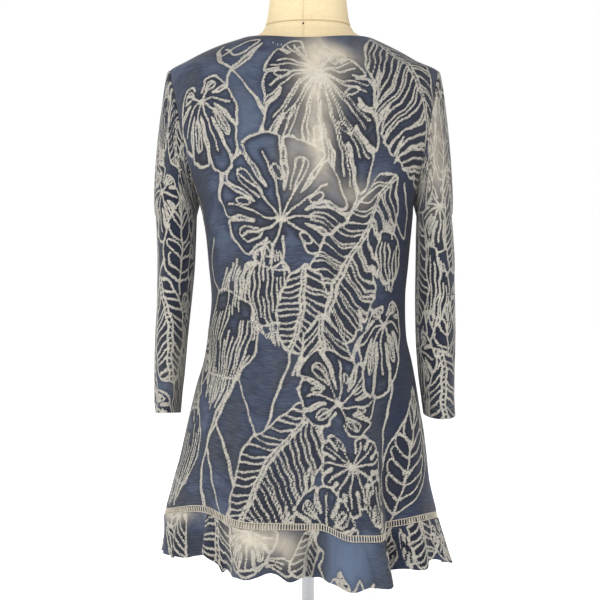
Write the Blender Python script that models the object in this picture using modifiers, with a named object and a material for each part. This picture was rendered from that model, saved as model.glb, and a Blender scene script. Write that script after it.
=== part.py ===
"""A tunic top with three-quarter sleeves and a ruffled hem, worn by a limbless dress form on a short stand.

Metres, +Z up. The origin is the centre of the stand's underside. The garment's front faces -Y, its back +Y,
and +X is the wearer's left. Every cloth piece is the outer face of a wall that grows inwards.
"""

import math
from collections import namedtuple

import bmesh
import bpy

# Cloth
CLOTH = 0.0015
SEAM_GAP = 0.0004
UNDERARM_HEIGHT = 0.677
SHOULDER_TIP_HEIGHT = 0.872
NECK_HALF_WIDTH = 0.100
NECK_BACK_REACH = 0.0805
NECK_FRONT_REACH = 0.112
PANEL_HEM_HEIGHT = 0.2350
FOLDS_FADE_OUT_HEIGHT = 0.50
INSERTION_HEIGHT = 0.009
RUFFLE_LENGTH = 0.063
RUFFLE_FLARE = 0.010

# Dress form and stand
FORM_BOTTOM = 0.245
NECK_TOP = 0.985
NECK_CAP_THICKNESS = 0.008
NECK_CAP_OVERHANG = 0.0015
TOUCHING_GAP = 0.0003
POLE_RADIUS = 0.009
BASE_RADIUS = 0.150
BASE_THICKNESS = 0.012
BASE_EDGE_BEVEL = 0.003
COLLAR_RADIUS = 0.022
COLLAR_HEIGHT = 0.030

# Mesh densities
PANEL_COLUMNS = 40
STRIP_COLUMNS = 80
INSERTION_ROWS = 1
RUFFLE_ROWS = 3
CAP_ROWS = 5
FORM_COLUMNS = 32
ROUND_STEPS = 40

# A section's squareness is 2 for an ellipse and more for a squarer shape
FormSection = namedtuple("FormSection", "height half_width front_depth back_depth shift squareness")
FORM_SECTIONS = [
    FormSection(0.245, 0.158, 0.104, 0.108, 0.000, 2.4),
    FormSection(0.300, 0.161, 0.109, 0.115, 0.000, 2.4),
    FormSection(0.360, 0.157, 0.111, 0.116, 0.000, 2.4),
    FormSection(0.420, 0.144, 0.109, 0.106, 0.000, 2.4),
    FormSection(0.480, 0.130, 0.103, 0.091, 0.000, 2.4),
    FormSection(0.540, 0.122, 0.098, 0.082, 0.000, 2.4),
    FormSection(0.600, 0.129, 0.113, 0.088, 0.000, 2.4),
    FormSection(0.660, 0.141, 0.137, 0.099, 0.001, 2.35),
    FormSection(0.700, 0.148, 0.143, 0.107, 0.002, 2.3),
    FormSection(0.760, 0.165, 0.126, 0.112, 0.004, 2.2),
    FormSection(0.820, 0.179, 0.103, 0.107, 0.005, 2.05),
    FormSection(0.850, 0.185, 0.092, 0.101, 0.006, 1.92),
    FormSection(0.866, 0.182, 0.085, 0.095, 0.007, 1.85),
    FormSection(0.876, 0.173, 0.080, 0.089, 0.008, 1.84),
    FormSection(0.8848, 0.161, 0.077, 0.085, 0.009, 1.85),
    FormSection(0.8968, 0.139, 0.073, 0.079, 0.007, 1.92),
    FormSection(0.9058, 0.117, 0.070, 0.074, 0.005, 2.0),
    FormSection(0.913, 0.094, 0.067, 0.069, 0.002, 2.05),
    FormSection(0.920, 0.077, 0.064, 0.064, 0.000, 2.1),
    FormSection(0.927, 0.067, 0.062, 0.059, 0.000, 2.15),
    FormSection(0.936, 0.062, 0.060, 0.055, 0.000, 2.2),
    FormSection(0.952, 0.0585, 0.059, 0.050, 0.000, 2.2),
    FormSection(0.985, 0.0545, 0.059, 0.045, 0.000, 2.2),
]

TunicSection = namedtuple("TunicSection", "height half_width front_depth back_depth shift squareness")
TUNIC_SECTIONS = [
    TunicSection(0.180, 0.205, 0.158, 0.166, 0.013, 2.3),
    TunicSection(0.225, 0.1985, 0.152, 0.160, 0.011, 2.3),
    TunicSection(0.277, 0.186, 0.143, 0.151, 0.010, 2.3),
    TunicSection(0.312, 0.179, 0.138, 0.145, 0.007, 2.3),
    TunicSection(0.347, 0.173, 0.133, 0.140, 0.005, 2.3),
    TunicSection(0.382, 0.166, 0.129, 0.135, 0.004, 2.3),
    TunicSection(0.417, 0.159, 0.125, 0.129, 0.0025, 2.3),
    TunicSection(0.452, 0.1505, 0.121, 0.122, 0.0005, 2.3),
    TunicSection(0.487, 0.144, 0.118, 0.115, 0.0015, 2.3),
    TunicSection(0.540, 0.1405, 0.117, 0.107, -0.0005, 2.3),
    TunicSection(0.591, 0.1448, 0.127, 0.108, -0.0007, 2.3),
    TunicSection(0.626, 0.148, 0.139, 0.111, -0.0007, 2.3),
    TunicSection(0.661, 0.1525, 0.150, 0.115, 0.0005, 2.3),
    TunicSection(0.677, 0.155, 0.153, 0.117, 0.002, 2.3),
    TunicSection(0.700, 0.1635, 0.154, 0.119, 0.003, 2.3),
    TunicSection(0.735, 0.179, 0.146, 0.122, 0.004, 2.25),
    TunicSection(0.770, 0.190, 0.134, 0.122, 0.0045, 2.2),
    TunicSection(0.820, 0.1975, 0.113, 0.117, 0.005, 2.08),
    TunicSection(0.850, 0.1985, 0.101, 0.110, 0.006, 1.95),
    TunicSection(0.868, 0.197, 0.094, 0.103, 0.006, 1.87),
    TunicSection(0.8845, 0.168, 0.085, 0.093, 0.009, 1.85),
    TunicSection(0.8965, 0.1455, 0.080, 0.086, 0.008, 1.92),
    TunicSection(0.9055, 0.125, 0.0765, 0.081, 0.006, 2.0),
    TunicSection(0.9135, 0.103, 0.073, 0.0755, 0.002, 2.05),
    TunicSection(0.9215, 0.080, 0.069, 0.070, 0.000, 2.1),
]

# The panels' rows, at the side seam and at the shoulder seam
BODY_ROW_HEIGHTS = [0.235, 0.268, 0.305, 0.345, 0.385, 0.425, 0.465, 0.505, 0.548, 0.592, 0.635]
ARMHOLE_ROWS = 10
EDGE_CROWDING = 0.65
SHOULDER_ROW_HEIGHTS = [0.884, 0.896, 0.906, 0.9145]

# Skirt folds at the seam to the insertion. The angle runs from the left side seam over the back to the right
# one (0 to 180 degrees) and on over the front. A lobe stands outwards, a valley falls inwards.
SkirtFold = namedtuple("SkirtFold", "angle outwards lift")
SKIRT_FOLDS = [
    SkirtFold(0, 0.000, 0.004),
    SkirtFold(42, -0.022, 0.019),
    SkirtFold(72, 0.006, 0.006),
    SkirtFold(97, -0.010, 0.003),
    SkirtFold(110, 0.012, -0.010),
    SkirtFold(120, 0.009, -0.012),
    SkirtFold(130, -0.022, 0.000),
    SkirtFold(148, 0.002, 0.007),
    SkirtFold(180, 0.000, 0.000),
    SkirtFold(208, 0.007, -0.004),
    SkirtFold(232, -0.018, 0.008),
    SkirtFold(257, 0.010, -0.003),
    SkirtFold(281, -0.014, 0.004),
    SkirtFold(305, 0.008, -0.005),
    SkirtFold(330, -0.015, 0.009),
    SkirtFold(360, 0.000, 0.004),
]

# Ruffle waves at its lower edge, beyond the skirt's own folds
RuffleWave = namedtuple("RuffleWave", "angle outwards drop")
RUFFLE_WAVES = [
    RuffleWave(0, -0.005, -0.006),
    RuffleWave(4, -0.005, -0.006),
    RuffleWave(14, -0.010, -0.004),
    RuffleWave(27, 0.003, -0.003),
    RuffleWave(40, -0.009, -0.002),
    RuffleWave(49, 0.004, -0.009),
    RuffleWave(58, -0.012, 0.002),
    RuffleWave(70, 0.009, -0.002),
    RuffleWave(80, 0.001, -0.004),
    RuffleWave(88, 0.008, -0.001),
    RuffleWave(98, -0.012, 0.001),
    RuffleWave(105, 0.010, 0.001),
    RuffleWave(114, 0.004, -0.006),
    RuffleWave(122, 0.010, -0.005),
    RuffleWave(130, -0.014, -0.004),
    RuffleWave(139, 0.009, -0.004),
    RuffleWave(149, -0.004, -0.007),
    RuffleWave(160, 0.009, -0.002),
    RuffleWave(170, -0.003, 0.000),
    RuffleWave(177, 0.006, -0.002),
    RuffleWave(183, 0.006, -0.002),
    RuffleWave(191, -0.006, 0.000),
    RuffleWave(203, 0.009, 0.002),
    RuffleWave(214, -0.003, -0.001),
    RuffleWave(224, 0.006, 0.001),
    RuffleWave(235, -0.013, 0.003),
    RuffleWave(247, 0.008, 0.001),
    RuffleWave(257, 0.000, -0.002),
    RuffleWave(267, 0.010, 0.002),
    RuffleWave(279, -0.012, 0.000),
    RuffleWave(290, 0.008, 0.002),
    RuffleWave(300, -0.002, -0.001),
    RuffleWave(311, 0.009, 0.001),
    RuffleWave(322, -0.005, 0.002),
    RuffleWave(332, 0.003, -0.003),
    RuffleWave(341, -0.010, 0.001),
    RuffleWave(351, 0.001, -0.004),
    RuffleWave(357, -0.005, -0.006),
    RuffleWave(360, -0.005, -0.006),
]

# Sleeve sections below the armhole. inner and outer are distances from the body's middle plane.
SleeveSection = namedtuple("SleeveSection", "height inner outer half_depth middle_y")
SLEEVE_SECTIONS = {
    "left": [
        SleeveSection(0.661, 0.1620, 0.2195, 0.075, 0.000),
        SleeveSection(0.626, 0.1632, 0.2185, 0.074, 0.000),
        SleeveSection(0.591, 0.1646, 0.2180, 0.072, 0.001),
        SleeveSection(0.539, 0.1692, 0.2185, 0.068, 0.002),
        SleeveSection(0.487, 0.1746, 0.2210, 0.064, 0.003),
        SleeveSection(0.434, 0.1792, 0.2225, 0.060, 0.003),
        SleeveSection(0.400, 0.1830, 0.2225, 0.057, 0.003),
        SleeveSection(0.3755, 0.1850, 0.2205, 0.055, 0.003),
    ],
    "right": [
        SleeveSection(0.661, 0.1585, 0.2075, 0.076, 0.000),
        SleeveSection(0.626, 0.1575, 0.2105, 0.075, 0.000),
        SleeveSection(0.591, 0.1570, 0.2125, 0.073, 0.000),
        SleeveSection(0.539, 0.1562, 0.2130, 0.069, 0.000),
        SleeveSection(0.487, 0.1570, 0.2140, 0.065, -0.001),
        SleeveSection(0.434, 0.1605, 0.2130, 0.061, -0.002),
        SleeveSection(0.398, 0.1650, 0.2125, 0.058, -0.002),
        SleeveSection(0.3740, 0.1680, 0.2140, 0.056, -0.002),
    ],
}
SLEEVE_CAP_BULGE = {"left": 0.0065, "right": 0.0060}
CUFF_TILT = {"left": 0.004, "right": -0.004}

SIDE_SIGN = {"left": 1, "right": -1}


def curve_through(rows, name):
    """A smooth curve without overshoot through one column of a table, as a function of height."""
    points = sorted((row.height, getattr(row, name)) for row in rows)
    xs = [point[0] for point in points]
    ys = [point[1] for point in points]
    slopes = [(ys[i + 1] - ys[i]) / (xs[i + 1] - xs[i]) for i in range(len(xs) - 1)]
    tangents = [slopes[0]]
    for before, after in zip(slopes, slopes[1:]):
        turns = before * after <= 0
        tangents.append(0.0 if turns else 2 * before * after / (before + after))
    tangents.append(slopes[-1])

    def value(x):
        x = min(max(x, xs[0]), xs[-1])
        i = max(k for k in range(len(xs) - 1) if xs[k] <= x or k == 0)
        width = xs[i + 1] - xs[i]
        t = (x - xs[i]) / width
        rise = ys[i + 1] - ys[i]
        near = tangents[i] * width
        far = tangents[i + 1] * width
        return ys[i] + near * t + (3 * rise - 2 * near - far) * t**2 + (near + far - 2 * rise) * t**3

    return value


def wave_through(rows, name):
    """A soft wave whose crests and troughs are the table's rows, as a function of the angle in radians."""

    def value(angle):
        degrees = math.degrees(angle) % 360
        for before, after in zip(rows, rows[1:]):
            if degrees <= after.angle:
                t = (degrees - before.angle) / (after.angle - before.angle)
                ease = (1 - math.cos(math.pi * t)) / 2
                low, high = getattr(before, name), getattr(after, name)
                return low + (high - low) * ease
        return getattr(rows[-1], name)

    return value


class Outline:
    """Level sections of a torso shape, squarer than ellipses, that change with height."""

    def __init__(self, rows):
        self.half_width = curve_through(rows, "half_width")
        self.front_depth = curve_through(rows, "front_depth")
        self.back_depth = curve_through(rows, "back_depth")
        self.shift = curve_through(rows, "shift")
        self.power = curve_through(rows, "squareness")

    def depth(self, angle, height):
        return self.back_depth(height) if math.sin(angle) >= 0 else self.front_depth(height)

    def unit(self, angle, height):
        """The point of the unit section at an angle."""
        c, s = math.cos(angle), math.sin(angle)
        power = self.power(height)
        reach = (abs(c) ** power + abs(s) ** power) ** (-1 / power)
        return c * reach, s * reach

    def point(self, angle, height):
        c, s = self.unit(angle, height)
        return (
            self.shift(height) + self.half_width(height) * c,
            self.depth(angle, height) * s,
            height,
        )

    def outwards(self, angle, height):
        """The level direction that points straight out of the section."""
        c, s = self.unit(angle, height)
        bend = self.power(height) - 1
        along_x = math.copysign(abs(c) ** bend, c) / self.half_width(height)
        along_y = math.copysign(abs(s) ** bend, s) / self.depth(angle, height)
        size = math.hypot(along_x, along_y)
        return along_x / size, along_y / size


FORM = Outline(FORM_SECTIONS)
TUNIC = Outline(TUNIC_SECTIONS)
FOLD_OUTWARDS = wave_through(SKIRT_FOLDS, "outwards")
FOLD_LIFT = wave_through(SKIRT_FOLDS, "lift")
WAVE_OUTWARDS = wave_through(RUFFLE_WAVES, "outwards")
WAVE_DROP = wave_through(RUFFLE_WAVES, "drop")


def tunic_point(angle, height):
    """The outer face of the tunic's body, with the skirt's folds fading out upwards."""
    x, y, z = TUNIC.point(angle, height)
    span = FOLDS_FADE_OUT_HEIGHT - PANEL_HEM_HEIGHT
    strength = max(0.0, (FOLDS_FADE_OUT_HEIGHT - height) / span) ** 1.5
    out_x, out_y = TUNIC.outwards(angle, height)
    reach = FOLD_OUTWARDS(angle) * strength
    return x + out_x * reach, y + out_y * reach, z


def seam_plane_half_width(height):
    """The armhole seam lies in a slanted plane. This is its distance from the body's middle."""
    share = (height - UNDERARM_HEIGHT) / (SHOULDER_TIP_HEIGHT - UNDERARM_HEIGHT)
    low = TUNIC.half_width(UNDERARM_HEIGHT)
    high = TUNIC.half_width(SHOULDER_TIP_HEIGHT)
    return low + share * (high - low)


def armhole_height(turn):
    """The height on the armhole, with turn 0 at the shoulder and a half turn at the underarm."""
    share = (1 + math.cos(turn)) / 2
    return UNDERARM_HEIGHT + (SHOULDER_TIP_HEIGHT - UNDERARM_HEIGHT) * share


def panel_row_heights():
    """The heights of a panel's rows at its side edge, closer together at the armhole's two ends."""
    turns = [math.pi * (1 - row / ARMHOLE_ROWS) for row in range(ARMHOLE_ROWS + 1)]
    return BODY_ROW_HEIGHTS + [armhole_height(turn) for turn in turns] + SHOULDER_ROW_HEIGHTS


def armhole_angle(height):
    """How far round from the side the armhole seam lies, 0 at the underarm and at the shoulder."""
    if height >= SHOULDER_TIP_HEIGHT:
        return 0.0
    share = min(1.0, seam_plane_half_width(height) / TUNIC.half_width(height))
    power = TUNIC.power(height)
    across = (1 - share**power) ** (1 / power)
    return math.atan2(across, share)


def neckline_place(turn, side):
    """The (angle, height) of the neckline, with turn from 0 at the left shoulder to pi at the right one."""
    x = NECK_HALF_WIDTH * math.cos(turn)
    reach = NECK_BACK_REACH if side > 0 else NECK_FRONT_REACH
    y = reach * math.sin(turn)
    depth = TUNIC.back_depth if side > 0 else TUNIC.front_depth
    low, high = UNDERARM_HEIGHT, TUNIC_SECTIONS[-1].height
    for _ in range(40):
        height = (low + high) / 2
        power = TUNIC.power(height)
        size = abs(x / TUNIC.half_width(height)) ** power + abs(y / depth(height)) ** power
        if size < 1:
            low = height
        else:
            high = height
    angle = math.atan2(y / depth(height), x / TUNIC.half_width(height))
    return angle, height


def armhole_push(across, height):
    """How far the armhole's edge pushes a panel's point round towards the panel's middle."""
    bulge = armhole_angle(height)
    if bulge == 0:
        return 0.0
    falloff = min(6.0, EDGE_CROWDING * math.pi / bulge)
    return bulge * ((1 - across) ** falloff - across**falloff)


PANEL_ROW_HEIGHTS = panel_row_heights()


def yoke_place(across, row_height, side):
    """The (angle, height) of a panel's point above the underarm, blended from its four edges."""
    foot, crown = UNDERARM_HEIGHT, SHOULDER_ROW_HEIGHTS[-1]
    up = (row_height - foot) / (crown - foot)
    top_angle, top_height = neckline_place(across * math.pi, side)
    angle = (1 - up) * across * math.pi + up * top_angle + armhole_push(across, row_height)
    height = (1 - up) * foot + up * top_height + row_height - (foot + up * (crown - foot))
    return angle, height


def hem_height(angle):
    return PANEL_HEM_HEIGHT + FOLD_LIFT(angle)


def body_place(across, row_height):
    """The (angle, height) of a panel's point between the hem and the underarm."""
    angle = across * math.pi
    share = (UNDERARM_HEIGHT - row_height) / (UNDERARM_HEIGHT - PANEL_HEM_HEIGHT)
    return angle, row_height, max(0.0, share) ** 3


def panel_point(across, row, side):
    """A point of the back (side 1) or the front (side -1), with across from the left edge to the right one."""
    rows = PANEL_ROW_HEIGHTS
    if row < len(BODY_ROW_HEIGHTS):
        angle, height, lift_share = body_place(across, rows[row])
    else:
        angle, height = yoke_place(across, rows[row], side)
        lift_share = 0.0
    depth = TUNIC.depth(side, height)
    margin = SEAM_GAP / 2 / depth
    angle = min(max(angle, margin), math.pi - margin) * side
    return tunic_point(angle, height + FOLD_LIFT(angle) * lift_share)


def strip_place(across, side):
    """A point on the straight pieces of a panel's lower edge, with its angle."""
    column = min(int(across * PANEL_COLUMNS), PANEL_COLUMNS - 1)
    share = across * PANEL_COLUMNS - column
    start = panel_point(column / PANEL_COLUMNS, 0, side)
    end = panel_point((column + 1) / PANEL_COLUMNS, 0, side)
    edge = [a + (b - a) * share for a, b in zip(start, end)]
    return edge, across * math.pi * side


def below_edge(across, side, distance):
    """The edge's point, moved down the tunic's own slope."""
    (x, y, z), angle = strip_place(across, side)
    height = hem_height(angle)
    at_edge = tunic_point(angle, height)
    lower = tunic_point(angle, height - distance)
    return x + lower[0] - at_edge[0], y + lower[1] - at_edge[1], z - distance


def insertion_point(across, row, side):
    return below_edge(across, side, SEAM_GAP + row / INSERTION_ROWS * INSERTION_HEIGHT)


def ruffle_point(across, row, side):
    angle = across * math.pi * side
    down = row / RUFFLE_ROWS
    x, y, z = below_edge(across, side, 2 * SEAM_GAP + INSERTION_HEIGHT)
    out_x, out_y = TUNIC.outwards(angle, z)
    reach = RUFFLE_FLARE * down + WAVE_OUTWARDS(angle) * down**1.1
    return x + out_x * reach, y + out_y * reach, z - down * (RUFFLE_LENGTH + WAVE_DROP(angle))


def armhole_point(turn, name):
    """A point of the sleeve's first ring, with turn 0 at the shoulder, a half turn at the underarm."""
    height = armhole_height(turn)
    angle = armhole_angle(height)
    facing = 1 if math.sin(turn) >= 0 else -1
    around = facing * (angle if SIDE_SIGN[name] > 0 else math.pi - angle)
    x, y, z = TUNIC.point(around, height)
    apart = SEAM_GAP + CLOTH * (1 + math.cos(turn)) / 2
    return x + SIDE_SIGN[name] * apart, y, z


def sleeve_section_point(turn, height, name):
    rows = SLEEVE_SECTIONS[name]
    inner = curve_through(rows, "inner")(height)
    outer = curve_through(rows, "outer")(height)
    half_depth = curve_through(rows, "half_depth")(height)
    middle_y = curve_through(rows, "middle_y")(height)
    x = (inner + outer) / 2 + (outer - inner) / 2 * math.cos(turn)
    return SIDE_SIGN[name] * x, middle_y + half_depth * math.sin(turn), height


def sleeve_point(turn, row, name):
    """Rows 0 to CAP_ROWS turn the armhole ring into a level one, and the others follow the sections."""
    rows = SLEEVE_SECTIONS[name]
    if row > CAP_ROWS:
        x, y, z = sleeve_section_point(turn, rows[row - CAP_ROWS].height, name)
        at_cuff = row - CAP_ROWS == len(rows) - 1
        return x, y, z + (CUFF_TILT[name] * math.sin(turn) if at_cuff else 0.0)
    share = row / CAP_ROWS
    start = armhole_point(turn, name)
    end = sleeve_section_point(turn, rows[0].height, name)
    bulge = SLEEVE_CAP_BULGE[name] * 2 * math.sqrt(share * (1 - share)) * (1 + math.cos(turn)) / 2
    x, y, z = (a + (b - a) * share for a, b in zip(start, end))
    return x + SIDE_SIGN[name] * bulge, y, z


def material(name, colour, roughness, metallic=0.0):
    made = bpy.data.materials.new(name)
    made.use_nodes = True
    shader = made.node_tree.nodes["Principled BSDF"]
    shader.inputs["Base Color"].default_value = (*colour, 1.0)
    shader.inputs["Roughness"].default_value = roughness
    shader.inputs["Metallic"].default_value = metallic
    return made


def add_object(name, mesh, finish, collection):
    mesh.materials.append(finish)
    made = bpy.data.objects.new(name, mesh)
    collection.objects.link(made)
    return made


def bent_grid(columns, rows, place, closed=False):
    """A flat grid whose points are moved to place(across, row), and whose ends meet if it is closed."""
    bm = bmesh.new()
    bmesh.ops.create_grid(bm, x_segments=columns, y_segments=rows, size=1)
    for vertex in bm.verts:
        across = (vertex.co.x + 1) / 2
        row = round((vertex.co.y + 1) / 2 * rows)
        vertex.co = place(across, row)
    if closed:
        bmesh.ops.remove_doubles(bm, verts=bm.verts, dist=1e-6)
    return bm


def face_outwards(bm, middle):
    """Turns the faces round if most of them look towards the upright line through the middle."""
    looking = 0.0
    for face in bm.faces:
        centre = face.calc_center_median()
        away = (centre.x - middle[0]) * face.normal.x + (centre.y - middle[1]) * face.normal.y
        looking += away * face.calc_area()
    if looking < 0:
        bmesh.ops.reverse_faces(bm, faces=bm.faces)


def cloth_wall(name, bm, middle, finish, collection):
    """An open surface, which Solidify makes into a wall that grows inwards."""
    bm.normal_update()
    face_outwards(bm, middle)
    mesh = bpy.data.meshes.new(name)
    bm.to_mesh(mesh)
    bm.free()
    mesh.shade_smooth()
    made = add_object(name, mesh, finish, collection)
    wall = made.modifiers.new("wall", "SOLIDIFY")
    wall.thickness = CLOTH
    wall.offset = -1
    return made


def build_tunic(collection):
    printed = material("printed_slub_knit", (0.094, 0.110, 0.165), 0.85)
    openwork = material("openwork_tape", (0.62, 0.57, 0.46), 0.85)
    last_row = len(PANEL_ROW_HEIGHTS) - 1
    for name, side in (("back", 1), ("front", -1)):
        bm = bent_grid(PANEL_COLUMNS, last_row, lambda u, row: panel_point(u, row, side))
        cloth_wall(name, bm, (0, 0), printed, collection)
        bm = bent_grid(STRIP_COLUMNS, INSERTION_ROWS, lambda u, row: insertion_point(u, row, side))
        cloth_wall("insertion_" + name, bm, (0, 0), openwork, collection)
        bm = bent_grid(STRIP_COLUMNS, RUFFLE_ROWS, lambda u, row: ruffle_point(u, row, side))
        cloth_wall("ruffle_" + name, bm, (0, 0), printed, collection)
    for name in ("left", "right"):
        rows = CAP_ROWS + len(SLEEVE_SECTIONS[name]) - 1
        bm = bent_grid(
            2 * ARMHOLE_ROWS, rows, lambda u, row: sleeve_point(2 * math.pi * u, row, name), True
        )
        cuff = SLEEVE_SECTIONS[name][-1]
        middle = (SIDE_SIGN[name] * (cuff.inner + cuff.outer) / 2, cuff.middle_y)
        cloth_wall("sleeve_" + name, bm, middle, printed, collection)


def build_form(collection):
    linen = material("linen_cover", (0.90, 0.72, 0.44), 0.80)
    heights = [section.height for section in FORM_SECTIONS]
    bm = bent_grid(
        FORM_COLUMNS,
        len(heights) - 1,
        lambda u, row: FORM.point(2 * math.pi * u, heights[row]),
        True,
    )
    bmesh.ops.holes_fill(bm, edges=bm.edges, sides=0)
    bmesh.ops.recalc_face_normals(bm, faces=bm.faces)
    mesh = bpy.data.meshes.new("form_torso")
    bm.to_mesh(mesh)
    bm.free()
    mesh.shade_smooth()
    add_object("form_torso", mesh, linen, collection)


def flat_outline(name, outline, bottom, thickness, bevel, finish, collection):
    """A plate with that outline: a 2D curve, extruded both ways from its middle."""
    curve = bpy.data.curves.new(name, "CURVE")
    curve.dimensions = "2D"
    curve.fill_mode = "BOTH"
    spline = curve.splines.new("POLY")
    spline.points.add(len(outline) - 1)
    for point, (x, y) in zip(spline.points, outline):
        point.co = (x, y, 0, 1)
    spline.use_cyclic_u = True
    curve.extrude = thickness / 2
    made = add_object(name, curve, finish, collection)
    made.location.z = bottom + thickness / 2
    if bevel:
        weld = made.modifiers.new("weld", "WELD")
        weld.merge_threshold = 0.00005
        edge = made.modifiers.new("edge", "BEVEL")
        edge.width = bevel
        edge.segments = 2
    return made


def turned(name, profile, finish, collection):
    """A solid turned about the upright axis. The profile runs down its outer side."""
    mesh = bpy.data.meshes.new(name)
    points = [(radius, 0.0, height) for radius, height in profile]
    mesh.from_pydata(points, [(i, i + 1) for i in range(len(points) - 1)], [])
    made = add_object(name, mesh, finish, collection)
    screw = made.modifiers.new("turn", "SCREW")
    screw.steps = ROUND_STEPS
    screw.render_steps = ROUND_STEPS
    screw.use_merge_vertices = True
    screw.merge_threshold = 0.00005
    screw.use_smooth_shade = False
    return made


def build_stand(collection):
    varnished = material("varnished_wood", (0.35, 0.21, 0.11), 0.45)
    iron = material("painted_iron", (0.03, 0.03, 0.035), 0.45, 0.6)
    steel = material("brushed_steel", (0.55, 0.55, 0.56), 0.35, 1.0)
    angles = [2 * math.pi * i / FORM_COLUMNS for i in range(FORM_COLUMNS)]
    outline = []
    for angle in angles:
        x, y, _ = FORM.point(angle, NECK_TOP)
        out_x, out_y = FORM.outwards(angle, NECK_TOP)
        outline.append((x + out_x * NECK_CAP_OVERHANG, y + out_y * NECK_CAP_OVERHANG))
    flat_outline(
        "form_neck_cap", outline, NECK_TOP + TOUCHING_GAP, NECK_CAP_THICKNESS, 0.002, varnished, collection
    )
    collar_top = BASE_THICKNESS + COLLAR_HEIGHT
    turned(
        "stand_base",
        [
            (0, collar_top),
            (COLLAR_RADIUS - BASE_EDGE_BEVEL, collar_top),
            (COLLAR_RADIUS, collar_top - BASE_EDGE_BEVEL),
            (COLLAR_RADIUS, BASE_THICKNESS),
            (BASE_RADIUS - BASE_EDGE_BEVEL, BASE_THICKNESS),
            (BASE_RADIUS, BASE_THICKNESS - BASE_EDGE_BEVEL),
            (BASE_RADIUS, 0),
            (0, 0),
        ],
        iron,
        collection,
    )
    turned(
        "stand_pole",
        [
            (0, FORM_BOTTOM - TOUCHING_GAP),
            (POLE_RADIUS, FORM_BOTTOM - TOUCHING_GAP),
            (POLE_RADIUS, collar_top + TOUCHING_GAP),
            (0, collar_top + TOUCHING_GAP),
        ],
        steel,
        collection,
    )


def main():
    for leftover in list(bpy.data.objects):
        bpy.data.objects.remove(leftover)
    collection = bpy.data.collections.new("tunic_top_on_dress_form")
    bpy.context.scene.collection.children.link(collection)
    build_tunic(collection)
    build_form(collection)
    build_stand(collection)


main()
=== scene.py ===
"""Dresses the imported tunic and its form: cut cloth, print, openwork, stitching, linen and stand."""
import math
import random
from collections import namedtuple

import bmesh
import bpy
import numpy as np
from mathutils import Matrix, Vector
from mathutils.kdtree import KDTree


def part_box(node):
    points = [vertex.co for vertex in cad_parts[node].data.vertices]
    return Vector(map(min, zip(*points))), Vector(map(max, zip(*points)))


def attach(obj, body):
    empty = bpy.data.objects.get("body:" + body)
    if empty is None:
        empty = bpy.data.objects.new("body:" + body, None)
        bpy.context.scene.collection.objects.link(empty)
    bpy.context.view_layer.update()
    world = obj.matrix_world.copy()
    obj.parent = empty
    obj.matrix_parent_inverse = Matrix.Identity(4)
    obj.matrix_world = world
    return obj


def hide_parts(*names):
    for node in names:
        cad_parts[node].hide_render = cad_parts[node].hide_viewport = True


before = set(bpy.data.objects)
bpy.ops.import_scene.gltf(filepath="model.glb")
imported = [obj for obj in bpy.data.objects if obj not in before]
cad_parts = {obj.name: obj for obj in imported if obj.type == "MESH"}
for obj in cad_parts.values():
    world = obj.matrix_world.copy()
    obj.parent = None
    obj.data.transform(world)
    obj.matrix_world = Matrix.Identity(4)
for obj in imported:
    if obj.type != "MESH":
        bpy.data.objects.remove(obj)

bl_info = {
    "name": "Tunic dressing",
    "version": (1, 0, 0),
    "blender": (4, 5, 0),
    "location": "3D View > Sidebar > Tunic",
    "description": "Builds the printed tunic, its openwork and the linen form on the frame's solids",
    "category": "Object",
}

MM = 0.001

# Photograph: where the camera stood, worked out from the form's neck and the curve of the openwork
CAMERA_X = 0.0116
CAMERA_DISTANCE = 2.0
CAMERA_HEIGHT = 0.539
FRAME_WIDTH_AT_FORM = 0.873
SENSOR_WIDTH_MM = 36.0



def rows_of(kind, rows):
    return [kind(*row) for row in rows]


def tables_of(kind, tables):
    return {name: rows_of(kind, rows) for name, rows in tables.items()}


# The garment's and the form's level sections, as in the frame's solids, in metres
Section = namedtuple("Section", "height half_width front_depth back_depth shift squareness")
FORM_SECTIONS = rows_of(Section, [
    (0.245, 0.158, 0.104, 0.108, 0.000, 2.4), (0.300, 0.161, 0.109, 0.115, 0.000, 2.4),
    (0.360, 0.157, 0.111, 0.116, 0.000, 2.4), (0.420, 0.144, 0.109, 0.106, 0.000, 2.4),
    (0.480, 0.130, 0.103, 0.091, 0.000, 2.4), (0.540, 0.122, 0.098, 0.082, 0.000, 2.4),
    (0.600, 0.129, 0.113, 0.088, 0.000, 2.4), (0.660, 0.141, 0.137, 0.099, 0.001, 2.35),
    (0.700, 0.148, 0.143, 0.107, 0.002, 2.3), (0.760, 0.165, 0.126, 0.112, 0.004, 2.2),
    (0.820, 0.179, 0.103, 0.107, 0.005, 2.05), (0.850, 0.185, 0.092, 0.101, 0.006, 1.92),
    (0.866, 0.182, 0.085, 0.095, 0.007, 1.85), (0.876, 0.173, 0.080, 0.089, 0.008, 1.84),
    (0.8848, 0.161, 0.077, 0.085, 0.009, 1.85), (0.8968, 0.139, 0.073, 0.079, 0.007, 1.92),
    (0.9058, 0.117, 0.070, 0.074, 0.005, 2.0), (0.913, 0.094, 0.067, 0.069, 0.002, 2.05),
    (0.920, 0.077, 0.064, 0.064, 0.000, 2.1), (0.927, 0.067, 0.062, 0.059, 0.000, 2.15),
    (0.936, 0.062, 0.060, 0.055, 0.000, 2.2), (0.952, 0.0585, 0.059, 0.050, 0.000, 2.2),
    (0.985, 0.0545, 0.059, 0.045, 0.000, 2.2),
])
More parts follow.
